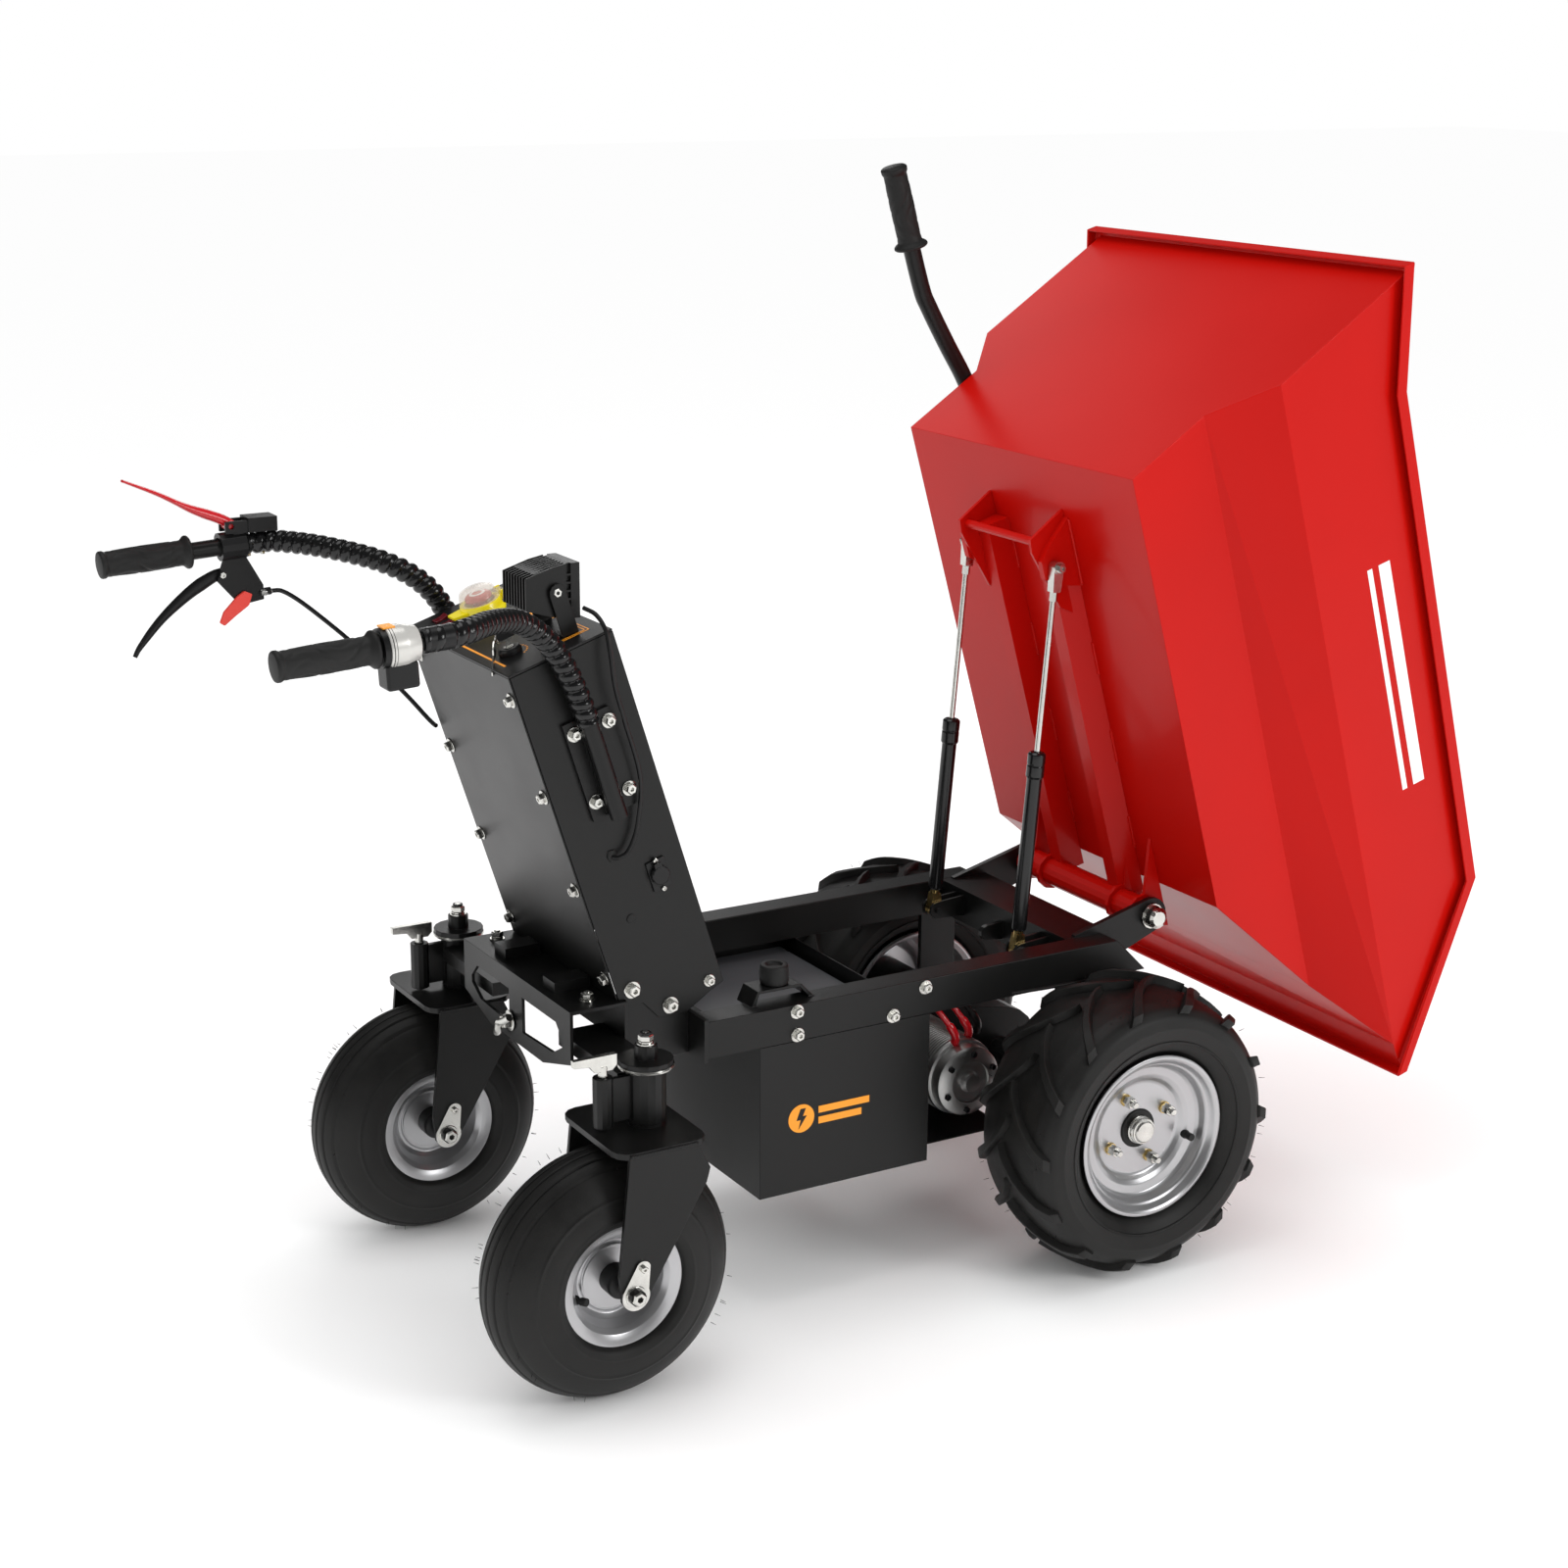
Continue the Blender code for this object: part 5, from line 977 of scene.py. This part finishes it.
# %% Cables
CABLES = {
    "brake_cable": (0.0030,
                    [(-0.9555, 0.3130, 0.9205), (-0.9420, 0.3130, 0.9185),
                     (-0.9220, 0.3050, 0.9050),
                     (-0.8950, 0.2880, 0.8800), (-0.8690, 0.2650, 0.8530),
                     (-0.8440, 0.2350, 0.8220),
                     (-0.8190, 0.2000, 0.7880), (-0.8040, 0.1740, 0.7640),
                     (-0.7990, 0.1610, 0.7560), (-0.7980, 0.1556, 0.7550)]),
    "light_cable": (0.0028,
                    [(-0.7205, -0.1260, 0.9560), (-0.7130, -0.1450, 0.9500),
                     (-0.7100, -0.1640, 0.9340),
                     (-0.7080, -0.1725, 0.9050), (-0.7030, -0.1735, 0.8660),
                     (-0.6910, -0.1735, 0.8230),
                     (-0.6690, -0.1700, 0.7500), (-0.6700, -0.1660, 0.6900),
                     (-0.6820, -0.1650, 0.6560),
                     (-0.6950, -0.1630, 0.6470), (-0.7010, -0.1580, 0.6470),
                     (-0.7010, -0.1520, 0.6470)]),
}
for cable, (radius, route) in CABLES.items():
    make(cable + "_jacket",
         tube(curve([chassis(*p) for p in route], 120), radius, 14, ref=(0.3, 0.2, 0.93)),
         PLASTIC, "chassis", smooth=60, stands_for=[cable])
print("controls made")

# %% [markdown]
# ## Console
# The sheet console keeps its solids. On top come the emergency stop with its clear lid, the
# key with a spare on its ring, the work lamp with cooling fins, printed marks, and bolts.

# %% Emergency stop
STOP = (0.0050, 0.0800)
PANEL_MID = -TOWER_DEEP / 2


def panel(ahead, y, lift=0.0):
    """A place on the control panel, ahead of its middle and lifted above its face."""
    return tower(PANEL_MID + ahead, y, PANEL_TOP + lift)


stop_at = panel(*STOP, 0.0003)
make("stop_collar",
     [turned(rounded([(0.0100, 0), (0.0300, 0), (0.0310, 0.003), (0.0278, 0.009), (0.0265, 0.018),
                      (0.0200, 0.018), (0.0200, 0.004), (0.0100, 0.004)], 0.0012), stop_at,
             PANEL_UP, 56),
      slab([panel(STOP[0] + a, STOP[1] + b, 0.0108) for a, b in
            ((-0.0430, -0.010), (-0.0430, 0.010), (-0.0240, 0.014), (-0.0240, -0.014))],
           PANEL_UP * 0.003),
      *[slab([panel(STOP[0] + a, STOP[1] + k * 0.0105 + b, 0.0043) for a, b in
              corners(0.0272, 0.0350, -0.0015, 0.0015)],
             PANEL_UP * 0.019) for k in (1, -1)]],
     YELLOW, "chassis", stands_for=["estop_base"])
make("stop_button",
     turned(rounded([(0, 0.0055), (0.0090, 0.0055), (0.0090, 0.0195), (0.0175, 0.0205),
                     (0.0180, 0.0235), (0.0165, 0.0265), (0.0120, 0.0285), (0, 0.0290)], 0.0014),
            stop_at, PANEL_UP, 48), SIGNAL_RED, "estop_button",
     stands_for=["estop_button"])
make("stop_button_ring",
     turned([(0.0068, 0.0286), (0.0068, 0.0292), (0.0104, 0.0290), (0.0104, 0.0284)], stop_at,
            PANEL_UP, 40, closed=True), WHITE, "estop_button")
make("stop_lid",
     [turned([(0, 0.0370), (0.0170, 0.0360), (0.0220, 0.0335), (0.0240, 0.0300), (0.0250, 0.0250),
              (0.0262, 0.0184), (0.0246, 0.0184), (0.0236, 0.0245), (0.0226, 0.0292),
              (0.0205, 0.0322), (0.0165, 0.0345), (0, 0.0355)], stop_at, PANEL_UP, 56),
      slab([panel(STOP[0] + a, STOP[1] + b, 0.0189) for a, b in
            corners(0.0245, 0.0345, -0.0085, 0.0085)],
           PANEL_UP * 0.0036)], CLEAR, "estop_cover", smooth=40,
     stands_for=["estop_cover"])

# %% Key and spare
KEY = (-0.0360, -0.0850)
bow = [(-0.0105, 0.0190), (-0.0118, 0.0255), (-0.0105, 0.0320), (-0.0050, 0.0372), (0.0050, 0.0372),
       (0.0105, 0.0320), (0.0118, 0.0255), (0.0105, 0.0190)]
make("key_bow", slab([panel(KEY[0] + a, KEY[1] - 0.0021, b) for a, b in bow], (0, 0.0042, 0)),
     PLASTIC, "key")
ring_angle = np.linspace(0, 2 * np.pi, 33)
ring_mid = panel(KEY[0] - 0.0085, KEY[1], 0.0245)
ring_up, ring_out = 0.0085 * np.array([0, 0, 1.0]), 0.0085 * np.array([-0.8, -0.6, 0])
make("key_ring",
     tube([ring_mid + math.cos(a) * ring_up + math.sin(a) * ring_out for a in ring_angle],
          0.0007, 8, ref=(0.6, -0.8, 0.02)), ZINC, "key", smooth=60)
down = np.array([-0.32, -0.50, -0.80])
down /= np.linalg.norm(down)
flat = np.cross(down, [0.8, -0.55, 0.0])
flat /= np.linalg.norm(flat)
spare_at = ring_mid + np.array([-0.006, -0.004, -0.006])
spare = [(-0.002, -0.005), (0.004, -0.009), (0.013, -0.009), (0.018, -0.004), (0.040, -0.003),
         (0.043, 0.000),
         (0.040, 0.003), (0.018, 0.004), (0.013, 0.009), (0.004, 0.009), (-0.002, 0.005)]
make("spare_key",
     slab([spare_at + a * down + b * flat for a, b in spare], np.cross(down, flat) * 0.0016), ZINC,
     "key")

# %% Work lamp
LAMP = panel(0.0330, -0.0800, 0.0560)
LAMP_HALF = 0.0330
lamp_outline = [(-0.027, -0.0235), (-0.027, 0.0235), (-0.006, 0.029), (0.020, 0.034),
                (0.032, 0.034), (0.032, -0.034), (0.020, -0.034), (-0.006, -0.029)]
fin_outline = [(-0.040, -0.0195), (-0.040, 0.0195), (-0.006, 0.0300), (0.014, 0.0338),
               (0.014, -0.0338), (-0.006, -0.0300)]
lamp_shapes = [slab([LAMP + (a, -0.0285, b) for a, b in lamp_outline[:4]] +
                    [LAMP + (a, -0.0285, b) for a, b in lamp_outline[6:]], (0, 0.057, 0)),
               slab([LAMP + (a, -LAMP_HALF, b) for a, b in lamp_outline[3:7]],
                    (0, 2 * LAMP_HALF, 0))]
for k in range(9):
    y = -LAMP_HALF + 0.0012 + k * (2 * LAMP_HALF - 0.0024) / 8
    lamp_shapes.append(slab([LAMP + (a, y - 0.0011, b) for a, b in fin_outline], (0, 0.0022, 0)))
for k in range(5):
    z = -0.0200 + k * 0.0100
    for flank in (1, -1):
        lamp_shapes.append(slab([LAMP + (a, flank * 0.0280, z + b) for a, b in
                                 corners(-0.030 + 0.0012 * abs(k - 2), 0.020, -0.0012, 0.0012)],
                                (0, flank * 0.0048, 0)))
make("lamp_body", lamp_shapes, POWDER, "work_light", smooth=25,
     stands_for=["work_light"])
lamp_bits = []
for flank in (1, -1):
    lamp_bits += bolt(LAMP + (0, flank * 0.0332, 0), (0, flank, 0), 0.0052, washer=False)
make("lamp_screws", lamp_bits, ZINC, "work_light")
make("lamp_lens",
     slab([LAMP + (0.0315, y, z) for y, z in corners(-0.0290, 0.0290, -0.0300, 0.0300)],
          (0.0008, 0, 0)), LENS_GLASS,
     "work_light")
make("lamp_cells",
     [turned([(0, 0), (0.0052, 0), (0.0062, 0.0004), (0, 0.0004)], LAMP + (0.0322, y, z), (1, 0, 0),
             20)
      for y in (-0.018, 0, 0.018) for z in (-0.018, 0, 0.018)], YELLOW, "work_light")

# %% Printed marks
def mark(ahead0, ahead1, y0, y1):
    """A thin printed bar on the panel."""
    return slab([panel(a, y, 0.00002) for a, y in corners(ahead0, ahead1, y0, y1)],
                PANEL_UP * 0.00025)


prints = []
for a0, a1, y0, y1 in ((0.012, 0.055, -0.126, -0.034), (0.016, 0.051, -0.122, -0.038)):
    line = 0.0016
    prints += [mark(a0, a0 + line, y0, y1), mark(a1 - line, a1, y0, y1),
               mark(a0, a1, y0, y0 + line), mark(a0, a1, y1 - line, y1)]
for k in range(4):
    prints.append(mark(-0.004 + 0.0125 * k, 0.0045 + 0.0125 * k, -0.018, 0.030 - 0.006 * k))
for k in range(9):
    angle = math.radians(-60 + 15 * k)
    spot = (KEY[0] + 0.021 * math.cos(angle), KEY[1] + 0.021 * math.sin(angle))
    prints.append(mark(spot[0] - 0.0012, spot[0] + 0.0012, spot[1] - 0.0012, spot[1] + 0.0012))
prints.append(mark(-0.062, -0.059, -0.120, 0.085))
make("panel_prints", prints, ORANGE, "chassis")

# %% Console fasteners
cover_holes = [tower(-TOWER_DEEP - 0.0023, side * 0.140, w) for w in (0.070, 0.199, 0.330, 0.462)
               for side in (LEFT, RIGHT)]
make("cover_bolts", bolts(cover_holes, -PANEL_AHEAD, 0.0062), ZINC, "chassis")
side_screws = []
for x, z in ((-0.643, 0.634), (-0.631, 0.596)):
    side_screws += [turned(rounded([(0, 0), (0.0032, 0), (0.0032, 0.0026), (0.0016, 0.0030),
                                    (0.0016, 0.0012), (0, 0.0012)],
                                   0.0004), chassis(x, -0.1582, z), (0, -1, 0), 20)]
make("socket_screws", side_screws, ZINC, "chassis")
make("console_plug", [turned(rounded([(0, 0), (0.0062, 0), (0.0062, 0.0012), (0, 0.0018)], 0.0005),
                             chassis(-0.675, -0.1551, 0.562), (0, -1, 0), 24),
                      tube([chassis(-0.7020, -0.1555, 0.655), chassis(-0.7010, -0.1560, 0.648),
                            chassis(-0.6990, -0.1555, 0.641)], [0.0050, 0.0068, 0.0050], 20,
                           ref=(0, 1, 0), wide=0.4)],
     GRIP, "chassis")
print("console made")

# %% [markdown]
# ## Gas struts, motor and battery box
# The struts are turned about the line between their pins: a black cylinder with a crimped
# top, a bright rod and zinc ends. The motor's shell carries thin cooling ribs.

# %% Gas struts
STRUT_Y, STRUT_LONG, CYLINDER_TOP = 0.105, 0.5377, 0.283
STRUT_UP = np.array([0.086131, 0, 0.996284])
STRUT_SIDE = np.array([0.996284, 0, -0.086131])


def eye(centre, radius, reach, side_y, half):
    """A flattened rod end: a round lug about a pin with a neck down to the rod."""
    turn = np.linspace(-0.12 * np.pi, 1.12 * np.pi, 14) + (np.pi if reach > 0 else 0)
    outline = [centre + radius * (math.cos(a) * STRUT_SIDE + math.sin(a) * STRUT_UP) for a in turn]
    outline += [centre + reach * STRUT_UP + k * 0.0062 * STRUT_SIDE
                for k in ((1, -1) if reach > 0 else (-1, 1))]
    return slab([p + (0, side_y - half, 0) for p in outline], (0, 2 * half, 0))


for wing, wheel_side in SIDES:
    y = wheel_side * STRUT_Y
    foot = chassis(-0.051, 0, 0.398)
    at_foot = foot + (0, y, 0)
    cylinder = rounded([(0.0054, 0.035), (0.0054, CYLINDER_TOP), (0.0095, CYLINDER_TOP),
                        (0.0125, CYLINDER_TOP - 0.003),
                        (0.0125, CYLINDER_TOP - 0.016), (0.0118, CYLINDER_TOP - 0.018),
                        (0.0125, CYLINDER_TOP - 0.020),
                        (0.0125, CYLINDER_TOP - 0.034), (0.0105, CYLINDER_TOP - 0.037),
                        (0.0105, 0.0320), (0.0085, 0.0290), (0.0054, 0.0290)], 0.0008)
    make("strut_tube_" + wing, turned(cylinder[::-1], at_foot, STRUT_UP, 40, closed=True), HOSE,
         "strut_body_" + wing, stands_for=["strut_cylinder_" + wing])
    make("strut_foot_" + wing, [eye(foot, 0.0100, 0.0240, y, 0.0068),
                                turned([(0, 0.0180), (0.0070, 0.0180), (0.0070, 0.0290),
                                        (0, 0.0290)], at_foot,
                                       STRUT_UP, 24)], YELLOW_ZINC, "strut_body_" + wing)
    make("strut_shaft_" + wing, [turned([(0, 0.246), (0.0040, 0.246), (0.0040, STRUT_LONG - 0.030),
                                         (0, STRUT_LONG - 0.030)], at_foot, STRUT_UP, 24),
                                 eye(foot + STRUT_LONG * STRUT_UP, 0.0083, -0.0335, y, 0.0068),
                                 turned([(0, STRUT_LONG - 0.046), (0.0055, STRUT_LONG - 0.046),
                                         (0.0055, STRUT_LONG - 0.032), (0, STRUT_LONG - 0.032)],
                                        at_foot, STRUT_UP, 6)], ZINC, "strut_rod_" + wing,
         stands_for=["strut_rod_" + wing])
    pin_at = foot + STRUT_LONG * STRUT_UP + (0, wheel_side * (STRUT_Y + 0.0070), 0)
    make("strut_pin_" + wing, bolt(pin_at, (0, wheel_side, 0), 0.0056, tall=1.0), ZINC,
         "strut_rod_" + wing)

# %% Motor
motor = [(0, 0.0017), (0.0520, 0.0017)]
for k in range(22):
    ridge = -0.004 - 0.005 * k
    motor += [(0.0550, ridge), (0.0550, ridge - 0.0016), (0.0515, ridge - 0.0022),
              (0.0515, ridge - 0.0044)]
motor += [(0.0548, -0.1150), (0.0550, -0.1175), (0.0540, -0.1215), (0.0500, -0.1225),
          (0.0495, -0.1395),
          (0.0470, -0.1415), (0.0300, -0.1455), (0.0290, -0.1420), (0.0150, -0.1420),
          (0.0120, -0.1465), (0.0120, -0.1515), (0.0100, -0.1520), (0, -0.1520)]
motor_at = chassis(-0.150, 0, 0.235)
make("motor_shell", turned(motor, motor_at, (0, 1, 0), 64), ALUMINIUM, "chassis", smooth=30,
     stands_for=["drive_motor"])
end_holes = [motor_at + (0.0400 * math.cos(a), -0.1432, 0.0400 * math.sin(a))
             for a in 0.4 + np.arange(6) * np.pi / 3]
make("motor_screws", bolts(end_holes, (0, -1, 0), 0.0040, washer=False), PLASTIC, "chassis")
boots = []
for dx, dy in ((-0.010, -0.118), (0.020, -0.106), (0.045, -0.090)):
    boots.append(tube(curve([motor_at + (dx, dy, 0.048), motor_at + (dx - 0.004, dy - 0.006, 0.066),
                             motor_at + (dx - 0.020, dy + 0.004, 0.094),
                             motor_at + (dx - 0.034, dy + 0.020, 0.118)], 24),
                      np.concatenate([np.full(10, 0.0060), np.full(14, 0.0042)]), 14,
                      ref=(0, 1, 0.1)))
make("motor_leads", boots[:2], SIGNAL_RED, "chassis", smooth=60)
make("motor_lead_black", boots[2:], PLASTIC, "chassis", smooth=60)

# %% Tub handle
TUB_HANDLE = [(0.120, 0.1210), (0.060, 0.1210), (0.010, 0.1210), (-0.032, 0.1150), (-0.090, 0.0985),
              (-0.150, 0.0830), (-0.180, 0.0780), (-0.262, 0.0765), (-0.352, 0.0765)]
handle_path = curve([tub(a, 0.2785, b) for a, b in TUB_HANDLE], 100)
handle_grip_at, handle_axis = tub(-0.3588, 0.2785, 0.0765), tub(1, 0, 0) - tub(0, 0, 0)
rows = np.linspace(0, 0.118, 72)
grip_radius = np.interp(rows,
                        [0, 0.001, 0.003, 0.008, 0.012, 0.030, 0.060, 0.100, 0.109, 0.112, 0.115,
                         0.1175, 0.118],
                        [0.0160, 0.0180, 0.0190, 0.0186, 0.0166, 0.0172, 0.0176, 0.0170, 0.0178,
                         0.0230, 0.0244, 0.0240, 0.0225])
turn = np.linspace(0, 2 * np.pi, 54, endpoint=False)[None]
middle = np.clip((rows[:, None] - 0.014) / 0.090, 0, 1)
swirl = np.clip((s_wave(turn, middle) - 0.70) / 0.30, 0, 1)
handle_plate = [tub(a, 0.2623, b) for a, b in corners(0.010, 0.110, 0.090, 0.1255)]
make("tub_handle_bar",
     [tube(handle_path, 0.0125, 24, ref=(0, 1, 0)), slab(handle_plate, (0, 0.0067, 0))], POWDER,
     "tub", stands_for=["tub_handle"])
make("tub_handle_grip", tube([handle_grip_at + v * handle_axis for v in rows],
                             grip_radius[:, None] - 0.0010 * swirl * np.sin(np.pi * middle) ** 0.4,
                             54, ref=(0, 1, 0)),
     GRIP, "tub", smooth=50)

# %% Tub details
stripes = []
for x0, x1, z0, z1 in ((0.230, 0.560, 0.292, 0.3005), (0.230, 0.560, 0.312, 0.332)):
    stripes.append(slab([tub(x, -0.33205, z) for x, z in corners(x0, x1, z0, z1)],
                        (0, -0.0003, 0)))
make("tub_stripes", stripes, WHITE, "tub")
for k, y in enumerate((-0.0925, 0.0925, -0.0515, 0.0515)):
    for n in range(4):
        a = 0.110 + (0.650 - 0.110) * (n + 0.15) / 4
        seam = [tub(a + step, y, -0.0006) for step in (0, 0.025, 0.050)]
        bead(seam, 0.0026, "tub_weld_%d_%d" % (k, n), RED, "tub")
for wing, side in SIDES:
    bead([tub(0.082, side * 0.0975, -0.001), tub(0.130, side * 0.0978, -0.001),
          tub(0.178, side * 0.0975, -0.001)],
         0.0026, "ear_weld_" + wing, RED, "tub")
print("tub dressed")

# %% Battery box and rear hardware
emblem = chassis(-0.450, -0.19465, 0.262)
make("box_emblem",
     [turned([(0, 0), (0.0195, 0), (0.0195, 0.0003), (0, 0.0003)], emblem, (0, -1, 0), 48),
      *[slab([emblem + (x, -0.0001, z) for x, z in corners(x0, x0 + long, z0, z0 + 0.0095)],
             (0, -0.0003, 0))
        for x0, z0, long in ((0.026, 0.0025, 0.078), (0.026, -0.0125, 0.066))]],
     ORANGE, "chassis")
spark = [(-0.0015, 0.0135), (0.0065, 0.0135), (0.0020, 0.0030), (0.0080, 0.0030),
         (-0.0045, -0.0145), (-0.0010, -0.0020), (-0.0075, -0.0020)]
make("box_spark", slab([emblem + (x, -0.0004, z) for x, z in spark], (0, -0.0003, 0)), PLASTIC,
     "chassis")
hook_at = chassis(-0.7665, 0.015, 0.388)
shackle = bolt(hook_at, (-1, 0, 0), 0.0088)
shackle += [tube(curve([hook_at + (-0.010, -0.020, 0.012), hook_at + (-0.013, -0.008, 0.004),
                        hook_at + (-0.014, 0.004, -0.002),
                        hook_at + (-0.012, 0.012, -0.013), hook_at + (-0.009, 0.022, -0.022)], 30),
                 0.0050, 14, ref=(1, 0, 0.1))]
make("rear_shackle", shackle, ZINC, "chassis", smooth=45)
rear_studs = []
for side in (LEFT, RIGHT):
    rear_studs += nut_on_stud(chassis(-0.728, side * 0.135, 0.4562), (0, 0, 1), 0.0058, 0.0125)
make("rear_studs", rear_studs, ZINC, "chassis", smooth=30)
print("frame hardware made")
